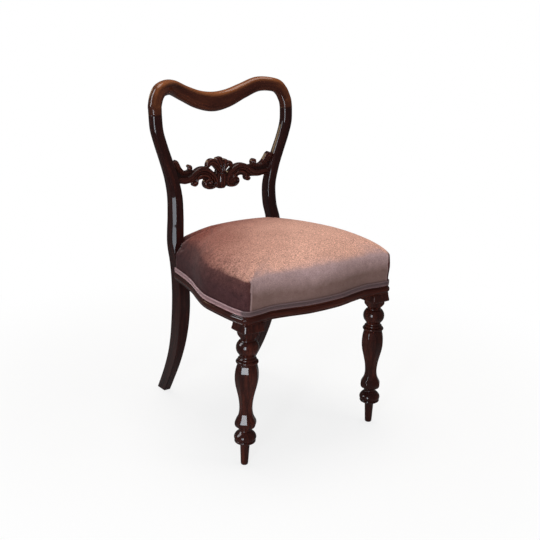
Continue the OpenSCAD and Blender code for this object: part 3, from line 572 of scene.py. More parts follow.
# The arrises between the eight flats are rubbed down to this share, and the flats' mean share keeps the girth
arris_share, mean_flat = 0.99, 0.966
shoulder_share = 1.37
around_count = 96
angles = np.linspace(0, 2 * math.pi, around_count, endpoint=False)
circle = np.column_stack([np.cos(angles), np.sin(angles)])
flat_share = math.cos(math.pi / 8) / np.cos((angles + math.pi / 8) % (math.pi / 4) - math.pi / 8)
flat_share = np.minimum(flat_share, arris_share)
# The step is as wide as this in each direction, so the lathe leaves a rounded shoulder on each of its corners
step_reach = step_side / 2 * np.minimum(1 / np.abs(circle).max(1), shoulder_share)
leg_rings = []
for number, stretch in enumerate(leg_stretches):
    shape = flat_share / mean_flat if number == eight_sided else np.ones(around_count)
    for height, radius in smooth_rows(stretch, 4) / 1000:
        lean = math.tan(leg_splay) * max(step_low - height, 0)
        reach = np.minimum(radius, step_reach) if number == pommel else radius * shape
        leg_rings.append(raised(circle * reach[:, None] + [leg_x + lean, leg_y], height))
# The block, from its foot up to the rails: height, half side and edge
square_levels = [
    (block_low, block_side / 2 - 0.0022, 0.0012), (block_low + 0.0005, block_side / 2 - 0.0008, 0.0014),
    (block_low + 0.0018, block_side / 2, 0.0016), (block_low + 0.004, block_side / 2 - 0.0001, 0.0016),
    (block_low + 0.010, block_side / 2 - block_flare * 0.55, 0.0016),
    (block_low + 0.016, block_side / 2 - block_flare * 0.9, 0.0016), (rail_z, block_side / 2 - block_flare, 0.0016)]
block_chamfer = 0.0036
# The post above the block stands this much inside its solid, towards the rails and towards the cover
hidden_gap, cover_gap = 0.0002, 0.0005


def square_ring(low_x, high_x, low_y, high_y, height, edge, corner, cut):
    """A square between two corners at a height, with its own edge at the outer front corner."""
    outline = section(high_x - low_x, high_y - low_y, [edge, edge, edge, corner], [0, 0, 0, cut])
    return raised(outline + [(low_x + high_x) / 2, (low_y + high_y) / 2], height)


square_rings = [square_ring(leg_x - half, leg_x + half, leg_y - half, leg_y + half, height, edge, block_chamfer, 1)
                for height, half, edge in square_levels]
post_box = (corner_x - post_side + hidden_gap, corner_x - cover_gap,
            corner_y + cover_gap, corner_y + post_side - hidden_gap)
square_rings += [square_ring(*post_box, height, 0.001, corner_round, 0)
                 for height in (rail_z + hidden_gap, rail_top - 0.001)]
leg_mahogany = polished_mahogany("leg_mahogany", (0.009, 0.0025, 0.0022), (0.028, 0.0065, 0.0045),
                                 (0.075, 0.016, 0.009), along="Z")
for side, turning in sides:
    turned = surface("turning", turning(leg_rings))
    squared = surface("squared", turning(square_rings))
    for polygon in squared.data.polygons:
        polygon.use_smooth = abs(polygon.normal.z) < 0.7
    fitted(joined(side + "_front_leg_turned", [turned, squared]), leg_mahogany,
           side + "_front_leg")

# Seat rails, dowels and corner blocks
# Planed beech that the upholstery hides: four rails dowelled to the legs and stiles, with a glued and screwed
# block in each corner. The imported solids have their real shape, so they stay and take a beech finish, bare where
# the upholstery hides it and stained dark where it shows at the back and beside the stiles.
stain_back, stain_side = 0.002, 0.003


def bare_beech(name, along, stained_from=None):
    """Unfinished beech with its short dark flecks, its grain along an axis. What shows behind a place is stained."""
    place, lay = new_finish(name, Specular_IOR_Level=0.2)
    rings = grain_noise(place, along, 0.06, 120, 4)
    flecks = grain_noise(place, along, 0.30, 700, 1).spread(0.62, 0.72, 0, 0.6, smooth=True)
    pale = rings.ramp((0.3, (0.44, 0.27, 0.15)), (0.55, (0.60, 0.41, 0.25)), (0.75, (0.70, 0.51, 0.33)))
    wood = flecks.mix(pale, (0.30, 0.16, 0.08))
    if stained_from is not None:
        stained = place.axis(1).spread(stained_from, stained_from + 0.0005)
        wood = (stained * (0.9 + rings * 0.1)).mix(wood, (0.026, 0.0062, 0.0048))
    return lay(wood, 0.55 + rings * 0.2, rings.bump(0.2, 0.0002))


def refinish(material, *nodes):
    """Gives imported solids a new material."""
    for node in nodes:
        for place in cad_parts[node].material_slots:
            place.material = material


refinish(bare_beech("beech_across", "X"), "front_seat_rail", "front_rail_dowels", "back_rail_dowels",
         *[f"{side}_{end}_corner_block" for side in ("left", "right") for end in ("front", "back")])
refinish(bare_beech("beech_behind", "X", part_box("back_seat_rail")[1].y - stain_back), "back_seat_rail")
refinish(bare_beech("beech_deep", "Y", stile_face(rail_z) - stain_side), "left_seat_rail", "right_seat_rail",
         "side_rail_dowels")
refinish(bare_beech("beech_up", "Z"), "crest_dowels")

# Block screws
# Plain steel wood screws, driven through the corner blocks into the rails.


def worn_steel(name, ground, dull):
    """Old steel: a dull grey skin with darker stains."""
    place, lay = new_finish(name, Metallic=1.0)
    stain = place.noise(350, 3)
    return lay(stain.ramp((0.35, dull), (0.65, ground)), 0.32 + stain * 0.25)


refinish(worn_steel("screw_steel", (0.42, 0.42, 0.43), (0.20, 0.17, 0.15)), "block_screws")

# Seat moulding
# A mahogany moulding glued along the foot of the front and side rails: a thin fillet over a bold round, with a
# small fillet under it. It follows the serpentine front and is mitred at the front corners.
chair_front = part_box("front_moulding")[0].y
mould_out = 0.009
front_y = chair_front + mould_out
front_hollow = 0.019
frame_deep = 0.396
stile_front = front_y + frame_deep
seat_back_x = 0.173
side_belly = 0.006
side_hollow = 0.004
taper_from = 0.4
front_shares = [(0, 0), (0.22, 0.12), (0.46, 0.68), (0.66, 1), (0.82, 0.78)]
side_shares = [(0.12, 0.75, 0), (0.3, 1, 0), (0.42, 0.9, 0), (0.56, 0.45, 0.1), (0.68, 0, 0.75), (0.8, 0, 1),
               (0.91, 0, 0.6)]
corner_centre = np.array([corner_x - corner_round, corner_y + corner_round])
corner_turn = np.radians(np.linspace(-90, 0, 13))
corner_arc = corner_centre + corner_round * np.column_stack([np.cos(corner_turn), np.sin(corner_turn)])
front_rows = [(s[0] * corner_x, front_y + s[1] * front_hollow) for s in front_shares] + [corner_arc[0]]
side_rows = [(corner_x + s[1] * side_belly - s[2] * side_hollow
              - (corner_x - seat_back_x) * max(s[0] - taper_from, 0) / (1 - taper_from),
              corner_y + s[0] * (stile_front - corner_y)) for s in side_shares]
front_line = smooth_rows(front_rows, 10)
side_line = smooth_rows([corner_arc[-1]] + side_rows + [(seat_back_x, stile_front)], 10)
half_plan = np.vstack([front_line, corner_arc[1:-1], side_line])
plan_ways = directions(half_plan)
plan_normals = np.column_stack([plan_ways[:, 1], -plan_ways[:, 0]])
plan_normals[0] = (0, -1)
corner_index = len(front_line) - 1 + len(corner_arc) // 2


def plan_out(out, z=rail_z):
    """The right half of the rails' plan, moved outwards square to itself and ended on the stile's face at a height."""
    moved = half_plan + plan_normals * out
    way = plan_ways[-1]
    moved[-1] += way * (stile_face(z) - moved[-1][1]) / way[1]
    return moved


def along_plan(profile, first, last):
    """Rings of a profile of (out, height) pairs carried along the plan, on the left half where negative."""
    lines = [plan_out(out, height) for out, height in profile]
    return [np.array([(math.copysign(line[abs(index)][0], index) if index else 0, line[abs(index)][1], height)
                      for line, (out, height) in zip(lines, profile)]) for index in range(first, last + 1)]


mould_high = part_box("front_moulding")[1].z - rail_z
bold_out, bold_up, bold_deep, bold_high = 0.0046, 0.0102, 0.0044, 0.0066
bold_round = [(bold_out + bold_deep * math.cos(a), bold_up + bold_high * math.sin(a))
              for a in np.radians(np.linspace(-80, 80, 15))]
mould_profile = [(out, rail_z + up) for out, up in [
    (0, 0), (0.0046, 0), (0.0052, 0.0005), (0.0054, 0.0016), (0.0050, 0.0026), (0.0042, 0.0031), *bold_round,
    (0.0040, 0.0176), (0.0040, 0.0182), (0.0052, 0.0186), (0.0058, 0.0194), (0.0058, 0.0204),
    (0.0052, mould_high - 0.0002), (0.0046, mould_high), (0, mould_high)]]
moulding_mahogany = polished_mahogany("moulding_mahogany", (0.012, 0.003, 0.0025), (0.038, 0.008, 0.005),
                                      (0.10, 0.022, 0.010))
fitted(surface("front_moulding_shaped", along_plan(mould_profile, -corner_index, corner_index)),
       moulding_mahogany, "front_moulding")
side_mould = along_plan(mould_profile, corner_index, len(half_plan) - 1)
for side, turning in sides:
    fitted(surface(side + "_moulding_shaped", turning(side_mould)), moulding_mahogany,
           side + "_moulding")

# Webbing and its tacks
# Jute webbing stretched over the rails, four strips from front to back laced through three from side to side,
# each end held by three tacks.

# A wave texture of scale 1 has about this many bands in a metre
waves_in_a_metre = 3.2


def woven(name, dark, pale, thread):
    """Plain-woven cloth of crossing threads, a size apart, with a bump for each thread."""
    place, lay = new_finish(name, Sheen_Weight=0.15)
    across, along = [place.node("ShaderNodeTexWave", {"bands_direction": axis}, {
        "Vector": place, "Scale": 1 / thread / waves_in_a_metre, "Distortion": 1.5, "Detail Scale": 40})
        for axis in "XY"]
    slubs = place.noise(160, 3)
    weave = across * along
    tone = weave * 0.6 + slubs * 0.5
    return lay(tone.ramp((0.2, dark), (0.8, pale)), 0.85 - slubs * 0.1, weave.bump(0.5, 0.0004))


web_wide = 0.050
web_thick = 0.0015
web_inset = 0.005
# From the middle of one strip to the next, in strip widths
long_step, cross_step = 1.28, 1.85
long_low, long_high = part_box("lengthwise_webbing")
cross_low, cross_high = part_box("crosswise_webbing")
long_places = [web_wide * long_step * (k - 1.5) for k in range(4)]
cross_places = [(cross_low.y + cross_high.y) / 2 + web_wide * cross_step * (k - 1) for k in range(3)]


def strip(start, end, height_at):
    """A flat strip of webbing between two points on the plan, with its height given by a function."""
    start, end = np.array(start), np.array(end)
    way = (end - start) / np.linalg.norm(end - start)
    side = np.array([-way[1], way[0]]) * web_wide / 2
    rings = []
    for centre in start + np.outer(np.linspace(0, 1, 81), end - start):
        low = height_at(centre)
        rings.append(np.array([(*(centre + side * across), low + up) for across, up in (
            (-1, 0), (0, 0), (1, 0), (1, web_thick), (0, web_thick), (-1, web_thick))]))
    return surface("strip", rings)


def laced(over_first, places, axis):
    """Height of a strip that goes over and under the strips that cross it at the given places."""
    def height(centre):
        lift = 0.5
        for number, place in enumerate(places):
            near = 1 - eased(abs(centre[axis] - place), web_wide * 0.5, web_wide * 0.3)
            lift += near * (0.5 if (number + over_first) % 2 else -0.5)
        return rail_top + web_thick * lift
    return height


def side_face(y):
    """How far out the side rail's face stands."""
    return float(np.interp(y, side_line[:, 1], side_line[:, 0]))


jute = woven("jute_webbing", (0.22, 0.15, 0.08), (0.52, 0.40, 0.24), 0.0016)
long_strips = [strip((x, long_low.y), (x, long_high.y), laced(k, cross_places, 1))
               for k, x in enumerate(long_places)]
cross_reach = [min(side_face(y - web_wide / 2), side_face(y + web_wide / 2)) - web_inset for y in cross_places]
cross_strips = [strip((-reach, y), (reach, y), laced(k + 1, long_places, 0))
                for k, (y, reach) in enumerate(zip(cross_places, cross_reach))]
long_webbing = fitted(joined("lengthwise_webbing_laced", long_strips), jute, "lengthwise_webbing")
cross_webbing = fitted(joined("crosswise_webbing_laced", cross_strips), jute, "crosswise_webbing")
blued_steel = worn_steel("blued_tack_steel", (0.10, 0.11, 0.14), (0.03, 0.03, 0.04))
refinish(blued_steel, "webbing_tacks", "cover_tacks")

# Hessian
# A sheet of plain jute cloth stretched over the webbing to carry the stuffing.
seat_gap = 0.0003
cover_thick = 0.003
cover_out = seat_gap + cover_thick
back_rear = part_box("back_seat_rail")[1].y
edge_z = 0.482
hessian_inset = 0.0065


def both_sides(half):
    """A closed outline from its right half."""
    return np.vstack([half, (half[1:-1] * [-1, 1])[::-1]])


def seat_outline(out, z, gap, back):
    """The seat's outline at a height, drawn in round the stiles."""
    level_z = min(z, edge_z)
    face = stile_face(level_z) - gap
    outer = plan_out(out, level_z)
    outer[:, 1] = np.minimum(outer[:, 1], face)
    notch = stile_inner(level_z) - gap
    behind = [(notch, y) for y in np.linspace(face, back, 6)]
    return both_sides(np.vstack([outer, behind, [(notch * share, back) for share in np.linspace(1, 0, 16)[1:]]]))


def stretched_cloth(name, outline, z, sag, thick):
    """A thin sheet inside an outline that sinks towards its middle by the sag."""
    middle = outline.mean(0)

    def layer(lift, shares):
        return [raised(middle + (outline - middle) * share, z + lift - sag * (1 - share**2)**1.5) for share in shares]
    shares = np.linspace(0.04, 1, 20)
    return surface(name, layer(0, shares) + layer(thick, shares[::-1]))


hessian_low, hessian_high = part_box("hessian")
hessian_line = seat_outline(-seat_gap, hessian_low.z, hessian_inset, back_rear - hessian_inset)
hessian_cloth = stretched_cloth("hessian_stretched", hessian_line, hessian_low.z, 0, hessian_high.z - hessian_low.z)
fitted(hessian_cloth, woven("hessian_jute", (0.20, 0.14, 0.08), (0.46, 0.35, 0.21), 0.0022), "hessian")

# Seat stuffing and cover
# Curled hair under a rolled edge, with a velvet cover drawn tight over it, folded at the front corners, cut round
# the stiles and tacked to the rails. A cloth simulation swells the seat's form, and the cover takes its shape.
cover_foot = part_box("seat_cover")[0].z
crown_top = 0.5305
swell_front, swell_stile = 0.0115, -0.010
back_swell = 0.002
seat_deep = stile_front - front_y
seat_mid_y = front_y + seat_deep * 0.53
# Towards the top the seat's outline turns into this oval
oval_size = np.array([corner_x * 1.02, seat_deep * 0.54])
# The edge roll is low and round at the back and sides, and higher and crisper in front
roll_back, roll_front = 0.458, 0.468
crown_back, crown_front = (2.8, 0.60), (3.3, 0.62)
swell_room = 0.003
pillow_voxel = 0.0055
pillow_pressure = 4.0
pillow_cap = 0.0045
pillow_steps = 20
velvet_thick = 0.0014
hair_share = (0.972, 0.970, 0.94)
# From front to back: where the outline narrows to the stiles, and where the roll turns from the back's to the front's
narrow_from, narrow_deep = -0.06, 0.19
front_from, front_deep = 0.02, 0.18
# How far in the crown's rings go, how they crowd towards the roll, and how soon they turn into the oval
crown_reach, crown_crowd, oval_turn = 0.97, 1.7, 2.2


def seat_rings(room, wall_steps, crown_steps):
    """Rings of the stuffed seat from its foot to its crown. Above the rails it is drawn in by the room."""
    foot_line = seat_outline(cover_out, cover_foot, seat_gap, back_rear + cover_out)
    broad_line, narrow_line = [seat_outline(swell - room, edge_z, seat_gap, back_rear + cover_out + back_swell - room)
                               for swell in (swell_front, swell_stile)]
    towards_stile = eased(broad_line[:, 1], narrow_from, narrow_deep)[:, None]
    full_line = broad_line + (narrow_line - broad_line) * towards_stile
    front = eased(-full_line[:, 1], front_from, front_deep)
    roll, power, round_power = [behind + front * (before - behind) for behind, before in (
        (roll_back, roll_front), *zip(crown_back, crown_front))]
    rings = []
    for share in np.linspace(0, 1, wall_steps):
        z = cover_foot + share * (roll - cover_foot)
        swelled = eased(z, cover_foot + 0.006, roll - cover_foot - 0.006)[:, None]
        drawn = eased(z, rail_top + 0.001, roll - rail_top)[:, None]
        rings.append(np.column_stack([foot_line + (broad_line - foot_line) * swelled * (1 - towards_stile)
                                      + (narrow_line - foot_line) * drawn * towards_stile, z]))
    rim = rings[-1][:, :2] - [0, seat_mid_y]
    turn = np.arctan2(rim[:, 1] / oval_size[1], rim[:, 0] / oval_size[0])
    oval = oval_size * np.column_stack([np.cos(turn), np.sin(turn)])
    for step in np.linspace(0, 1, crown_steps)[1:]:
        share = 1 - crown_reach * step**crown_crowd
        kept = share**oval_turn
        ring = share * (kept * rim + (1 - kept) * oval) + [0, seat_mid_y]
        rings.append(raised(ring, roll + (crown_top - room - roll) * (1 - share**power)**round_power))
    return rings


def set_places(mesh, points):
    mesh.vertices.foreach_set("co", points.astype(np.float32).ravel())
    mesh.update()


def swelling(room):
    """How the stuffed form moves under pressure, as its start places and their moves."""
    pillow = surface("pillow", seat_rings(room, 12, 26))
    changed(pillow, "REMESH", mode="VOXEL", voxel_size=pillow_voxel)
    baked(pillow)
    starts = places_of(pillow)
    held = pillow.vertex_groups.new(name="tacked")
    held.add([i for i, place in enumerate(starts) if place[2] < rail_top + 0.002], 1.0, "REPLACE")
    cloth = changed(pillow, "CLOTH")
    settings = cloth.settings
    settings.use_pressure = True
    settings.uniform_pressure_force = pillow_pressure
    settings.effector_weights.gravity = 0
    settings.vertex_group_mass = "tacked"
    settings.quality = 6
    cloth.point_cache.frame_start, cloth.point_cache.frame_end = 1, pillow_steps
    for step in range(1, pillow_steps + 1):
        bpy.context.scene.frame_set(step)
    baked(pillow)
    bpy.context.scene.frame_set(1)
    moves = places_of(pillow) - starts
    bpy.data.objects.remove(pillow)
    far = np.maximum(np.linalg.norm(moves, axis=1, keepdims=True), 1e-9)
    return starts, moves * np.minimum(1, pillow_cap / far)


def swollen(points, starts, moves):
    """Points moved as the simulated form moved near them."""
    tree = KDTree(len(starts))
    for index, place in enumerate(starts):
        tree.insert(place, index)
    tree.balance()
    result = points.copy()
    for index, point in enumerate(points):
        near = tree.find_n(point, 16)
        weights = np.array([1 / (distance + 0.002) for place, number, distance in near])
        result[index] += weights @ moves[[number for place, number, distance in near]] / weights.sum()
    return result


room = swell_room
velvet = surface("velvet_cover", seat_rings(room, 26, 60))
# The hair inside has the same form, a little smaller and with its foot on the hessian
hair_piece = surface("hair_stuffing_pad", seat_rings(room, 8, 24))
starts, moves = swelling(room)
for piece in (velvet, hair_piece):
    set_places(piece.data, swollen(places_of(piece), starts, moves))
centre = np.array([0, seat_mid_y, hessian_high.z])
hair_places = centre + (places_of(hair_piece) - centre) * hair_share
hair_places[:, 2] = np.maximum(hair_places[:, 2], hessian_high.z + seat_gap)
set_places(hair_piece.data, hair_places)

# The velvet has no floor. At each front corner the front's cloth is folded over the side's, and short draws run
# up from the tacks.
shell = bmesh.new()
shell.from_mesh(velvet.data)
floor_faces = [face for face in shell.faces if face.calc_center_median().z < cover_foot + 0.0001]
bmesh.ops.delete(shell, geom=floor_faces, context="FACES")
shell.to_mesh(velvet.data)
shell.free()
velvet_places = places_of(velvet)
fold_high = 0.472
fold_turn = math.radians(86)
fold_thick, fold_wide = 0.0011, 0.008
groove_deep, groove_off, groove_wide = 0.0009, 0.0012, 0.0016
draw_deep, draw_beat, draw_drift = 0.0005, 180, 61
for side in (-1, 1):
    corner = np.array([side * corner_centre[0], corner_centre[1]])
    away = velvet_places[:, :2] - corner
    distance = np.maximum(np.linalg.norm(away, axis=1), 1e-6)
    turn = np.arctan2(-away[:, 1], side * away[:, 0])
    seam = (turn - fold_turn) * distance
    tall = 1 - eased(velvet_places[:, 2], fold_high - 0.016, 0.024)
    near = (distance < 0.05) & (away[:, 1] < 0.01)
    over = fold_thick * np.exp(-(np.maximum(seam, 0) / fold_wide)**2) * eased(seam, -0.0004, fold_thick)
    under = -groove_deep * np.exp(-((seam + groove_off) / groove_wide)**2)
    velvet_places[:, :2] += ((over + under) * tall * near)[:, None] * away / distance[:, None]
front_wall = eased(-velvet_places[:, 1], 0.215, 0.02) * eased(velvet_places[:, 2], 0.452, 0.02)
front_wall *= 1 - eased(velvet_places[:, 2], 0.484, 0.02)
draws = np.sin(velvet_places[:, 0] * draw_beat + 1.5 * np.sin(velvet_places[:, 0] * draw_drift))
velvet_places[:, 1] -= draw_deep * front_wall * draws
set_places(velvet.data, velvet_places)
changed(velvet, "SOLIDIFY", thickness=velvet_thick, offset=-1)
baked(velvet)
velvet.data.polygons.foreach_set("use_smooth", [True] * len(velvet.data.polygons))

# Painted light on the velvet: the crown painted lit, the front palest with a painted highlight up its roll, the sides
# darkest as painted shade up to the corner's fold
normals = places_of(velvet, "normal")
x, y, z = places_of(velvet).T
side_pile = np.where(y < corner_centre[1] + 0.004, np.abs(x) > corner_centre[0] + 0.0012,
                     eased(np.abs(normals[:, 0]), 0.35, 0.35))
# Painted highlight: a narrow pale line along the fold's edge at each front corner
fold = np.exp(-((np.abs(x) - corner_centre[0] + 0.0006) / 0.0013)**2)
fold *= (y < corner_centre[1]) * (1 - eased(z, fold_high - 0.012, 0.02))
painted(velvet, "crown_pile", np.clip(normals[:, 2], 0, 1) * eased(z, 0.444, 0.018))
painted(velvet, "side_pile", side_pile)
painted(velvet, "fold_edge", fold)
painted(velvet, "climb", eased(z, 0.420, 0.062))


def lit(tone, light):
    """A colour multiplied by a brightness."""
    grey = tone.node("ShaderNodeCombineColor", {}, {"Red": light, "Green": light, "Blue": light})
    return tone.node("ShaderNodeMix", {"data_type": "RGBA", "blend_type": "MULTIPLY"}, {0: 1.0, 6: tone, 7: grey},
                     output=2)


def cut_velvet(name):
    """Old-rose velvet with painted light: an orange-brown speckled crown painted lit, dark mauve sides as painted
    shade, and a pale front with painted highlights on its roll and folds.
    """
    place, lay = new_finish(name, Sheen_Weight=0.06, Sheen_Roughness=0.35, Sheen_Tint=(1.0, 0.88, 0.86, 1),
                            Specular_IOR_Level=0.05)
    crown, side, fold, climb = [place.attribute(light_mark) for light_mark in ("crown_pile", "side_pile", "fold_edge", "climb")]
    speckle = place.noise(380, 2, 0.75)
    mottle = place.noise(75, 4, 0.62)
    broad = place.noise(9, 2)
    level = (crown + (mottle - 0.5) * 0.16).spread(0.52, 0.86, smooth=True)
    # Painted highlight: the roll's band, rising up the wall, is painted pale, and darker on the sides
    roll_highlight_mask = (climb + (mottle - 0.5) * 0.2 + (broad - 0.5) * 0.6).spread(0.12, 1.05)
    # Painted light: the crown is painted darker and redder towards the back and left, and paler and golden towards the
    # front and right, where the light falls
    slope = place.node("ShaderNodeVectorMath", {"operation": "DOT_PRODUCT"}, {0: place, 1: (0.75, -1.0, 0)}, output=1)
    front_right_lit = (slope + (broad - 0.5) * 0.15).spread(-0.20, 0.20, smooth=True)
    crown_tone = front_right_lit.mix((0.225, 0.070, 0.052), (0.585, 0.328, 0.252))
    roll_highlight_tone = side.mix((0.370, 0.250, 0.245), (0.100, 0.038, 0.034))
    wall_tone = side.mix((0.162, 0.098, 0.086), (0.056, 0.021, 0.022))
    folded = (fold * 0.6).mix(roll_highlight_mask.mix(wall_tone, roll_highlight_tone), (0.38, 0.26, 0.25))
    strength = 0.30 + roll_highlight_mask * 0.35 + level * 0.75 + side * 0.4
    light = 1 + (speckle - 0.5) * strength * 2.1 + (mottle - 0.5) * (0.35 + side * 0.8) + (broad - 0.5) * 0.25
    return lay(lit(level.mix(folded, crown_tone), light), 0.80 - mottle * 0.15,
               (speckle * 0.6 + mottle * 0.4).bump(0.35, 0.0006))


def curled_hair(name):
    """Matted dark horsehair."""
    place, lay = new_finish(name)
    strands = place.node("ShaderNodeTexWave", {}, {"Vector": place, "Scale": 120, "Distortion": 14, "Detail": 3})
    return lay(strands.ramp((0.2, (0.02, 0.015, 0.012)), (0.8, (0.10, 0.07, 0.05))), 0.7 + strands * 0.2,
               strands.bump(0.8, 0.001))


fitted(velvet, cut_velvet("old_rose_velvet"), "seat_cover")
fitted(hair_piece, curled_hair("curled_hair"), "hair_stuffing")

# Gimp
# A narrow woven silk braid glued over the cover's tacks: a smooth cord along the top, loops under it and a
# thin cord along the foot. It runs round the front and sides, and a second length covers the back rail.
gimp_low, gimp_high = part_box("seat_gimp")[0].z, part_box("seat_gimp")[1].z
gimp_out = cover_out + 0.0016
tape_thick = 0.0008
tape_inset = 0.0006
tape_drop = 0.0008
back_gimp_gap = 0.0006


def repeating_tree(name, sizes, nodes, links):
    """A node tree that sets a shape on points. Its inputs are named sizes in metres, and a material.

    A link leads from a node's output to a node's input: "in" is the tree's input, and "place" sets down the shape.
    """
    tree = bpy.data.node_groups.new(name, "GeometryNodeTree")
    for socket, kind in (("Geometry", "Geometry"), *[(size, "Float") for size in sizes], ("Material", "Material")):
        tree.interface.new_socket(socket, in_out="INPUT", socket_type="NodeSocket" + kind)
    tree.interface.new_socket("Geometry", in_out="OUTPUT", socket_type="NodeSocketGeometry")
    made = {}
    for key, kind, values in nodes + (
            ("in", "NodeGroupInput", {}), ("place", "GeometryNodeInstanceOnPoints", {}),
            ("real", "GeometryNodeRealizeInstances", {}), ("smooth", "GeometryNodeSetShadeSmooth", {}),
            ("finish", "GeometryNodeSetMaterial", {}), ("out", "NodeGroupOutput", {})):
        made[key] = tree.nodes.new(kind)
        for part, value in values.items():
            if part in made[key].inputs:
                made[key].inputs[part].default_value = value
            else:
                setattr(made[key], part, value)
    for link in links + ("place.Instances > real.Geometry", "real.Geometry > smooth.Geometry",
                         "smooth.Geometry > finish.Geometry", "in.Material > finish.Material",
                         "finish.Geometry > out.Geometry"):
        (source, output), (target, into) = [end.split(".") for end in link.split(" > ")]
        tree.links.new(made[source].outputs[output], made[target].inputs[into])
    return tree


def grown(piece, tree, sizes):
    """What a node tree makes of a piece, as a plain mesh object in its place."""
    modifier = piece.modifiers.new("grown", "NODES")
    modifier.node_group = tree
    for socket in tree.interface.items_tree:
        if socket.name in sizes:
            modifier[socket.identifier] = sizes[socket.name]
    mesh = bpy.data.meshes.new_from_object(piece.evaluated_get(bpy.context.evaluated_depsgraph_get()))
    name = piece.name
    bpy.data.objects.remove(piece)
    return placed(name, mesh)


def silk_braid(name):
    """Faded mauve silk thread, painted lighter on the sides and darker in front: the raised cords have worn pale, and
    the ground between them has stayed dark.
    """
    place, lay = new_finish(name, Sheen_Weight=0.25, Sheen_Roughness=0.4, Sheen_Tint=(1, 0.85, 0.88, 1))
    fade, twist = place.noise(90, 3), place.noise(1500, 1)
    # Painted light and shade: the gimp is painted paler along the sides, which the window lights, and darker in front,
    # which lies in shade
    side_lit_front_shaded = place.axis(1).spread(corner_y + 0.004, corner_y + 0.016, 0.60, 1.65, smooth=True)
    worn = place.axis(2).spread(gimp_low, gimp_high).ramp(
        (0.02, (0.34, 0.19, 0.19)), (0.22, (0.29, 0.155, 0.155)), (0.34, (0.21, 0.108, 0.110)),
        (0.60, (0.20, 0.100, 0.102)), (0.72, (0.115, 0.052, 0.054)), (0.80, (0.30, 0.170, 0.170)),
        (0.95, (0.33, 0.190, 0.190)))
    return lay(lit(worn, side_lit_front_shaded * (0.36 + fade * 0.4 + twist * 0.4)), 0.55 + fade * 0.2, twist.bump(0.4, 0.0002))


silk = silk_braid("mauve_silk")
loop_tree = repeating_tree("braid_loops", ("Pitch", "Loop length", "Loop height", "Thread", "Lean"), (
    ("points", "GeometryNodeResampleCurve", {"mode": "LENGTH"}), ("tangent", "GeometryNodeInputTangent", {}),
    ("turn", "FunctionNodeAlignRotationToVector", {"axis": "X", "pivot_axis": "Z"}),
    ("ring", "GeometryNodeCurvePrimitiveCircle", {"Resolution": 10, "Radius": 1.0}),
    ("size", "ShaderNodeCombineXYZ", {}), ("shape", "GeometryNodeTransform", {}),
    ("tilt", "ShaderNodeCombineXYZ", {}), ("lean", "GeometryNodeTransform", {}),
    ("thread", "GeometryNodeCurvePrimitiveCircle", {"Resolution": 5}), ("tube", "GeometryNodeCurveToMesh", {}),
    ("upright", "GeometryNodeTransform", {"Rotation": (math.pi / 2, 0, 0)})), (
    "in.Geometry > points.Curve", "in.Pitch > points.Length", "tangent.Tangent > turn.Vector",
    "in.Loop length > size.X", "in.Loop height > size.Y", "ring.Curve > shape.Geometry", "size.Vector > shape.Scale",
    "shape.Geometry > lean.Geometry", "in.Lean > tilt.Z", "tilt.Vector > lean.Rotation", "in.Thread > thread.Radius",
    "lean.Geometry > tube.Curve", "thread.Curve > tube.Profile Curve", "tube.Mesh > upright.Geometry",
    "points.Curve > place.Points", "upright.Geometry > place.Instance", "turn.Rotation > place.Rotation"))
# How far out and how high each row of loops is, and its pitch, loop length, loop height, thread and lean
braid_rows = ((0.0012, gimp_high - 0.0021, 0.0019, 0.0013, 0.0016, 0.0008, 0.7),
              (0.0010, gimp_high - 0.0068, 0.0040, 0.0030, 0.0028, 0.0008, 0.65),
              (0.0010, gimp_low + 0.0018, 0.0018, 0.0012, 0.0013, 0.0007, -0.7))


def gimp(name, plan_at, node):
    """A length of gimp on a line that plan_at gives for a distance out: a tape, and three rows of loops on it."""
    tape_top = gimp_high - tape_drop
    tape = ((0, gimp_low), (tape_thick, gimp_low), (tape_thick, tape_top), (0, tape_top))
    rows = [surface("tape", np.stack([raised(plan_at(gimp_out - tape_inset + out), z) for out, z in tape], axis=1))]
    for out, z, pitch, long, high, thread, lean in braid_rows:
        path = raised(plan_at(gimp_out + out), z)
        line = bpy.data.curves.new("row", "CURVE")
        line.dimensions = "3D"
        spline = line.splines.new("POLY")
        spline.points.add(len(path) - 1)
        spline.points.foreach_set("co", np.column_stack([path, np.ones(len(path))]).astype(np.float32).ravel())
        rows.append(grown(placed("row", line), loop_tree, {
            "Pitch": pitch, "Loop length": long, "Loop height": high, "Thread": thread, "Lean": lean,
            "Material": silk}))
    return fitted(joined(name, rows), silk, node)


def round_plan(out):
    """The plan from the left stile round the front to the right stile."""
    half = plan_out(out, gimp_low)
    return np.vstack([(half[1:] * [-1, 1])[::-1], half])


def across_back(out):
    reach = stile_inner(gimp_low) - back_gimp_gap
    return np.column_stack([np.linspace(reach, -reach, 60), np.full(60, back_rear + out)])


gimp("seat_gimp_braided", round_plan, "seat_gimp")
gimp("back_gimp_braided", across_back, "back_gimp")

# Dust cloth and its tacks
# Black cotton tacked under the seat to catch dust. It hangs a little in the middle and is cut round the legs.
dust_low, dust_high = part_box("dust_cloth")
dust_sag = 0.004
dust_inset, stile_gap = 0.006, 0.002
leg_notch = block_side / 2 + 0.0005

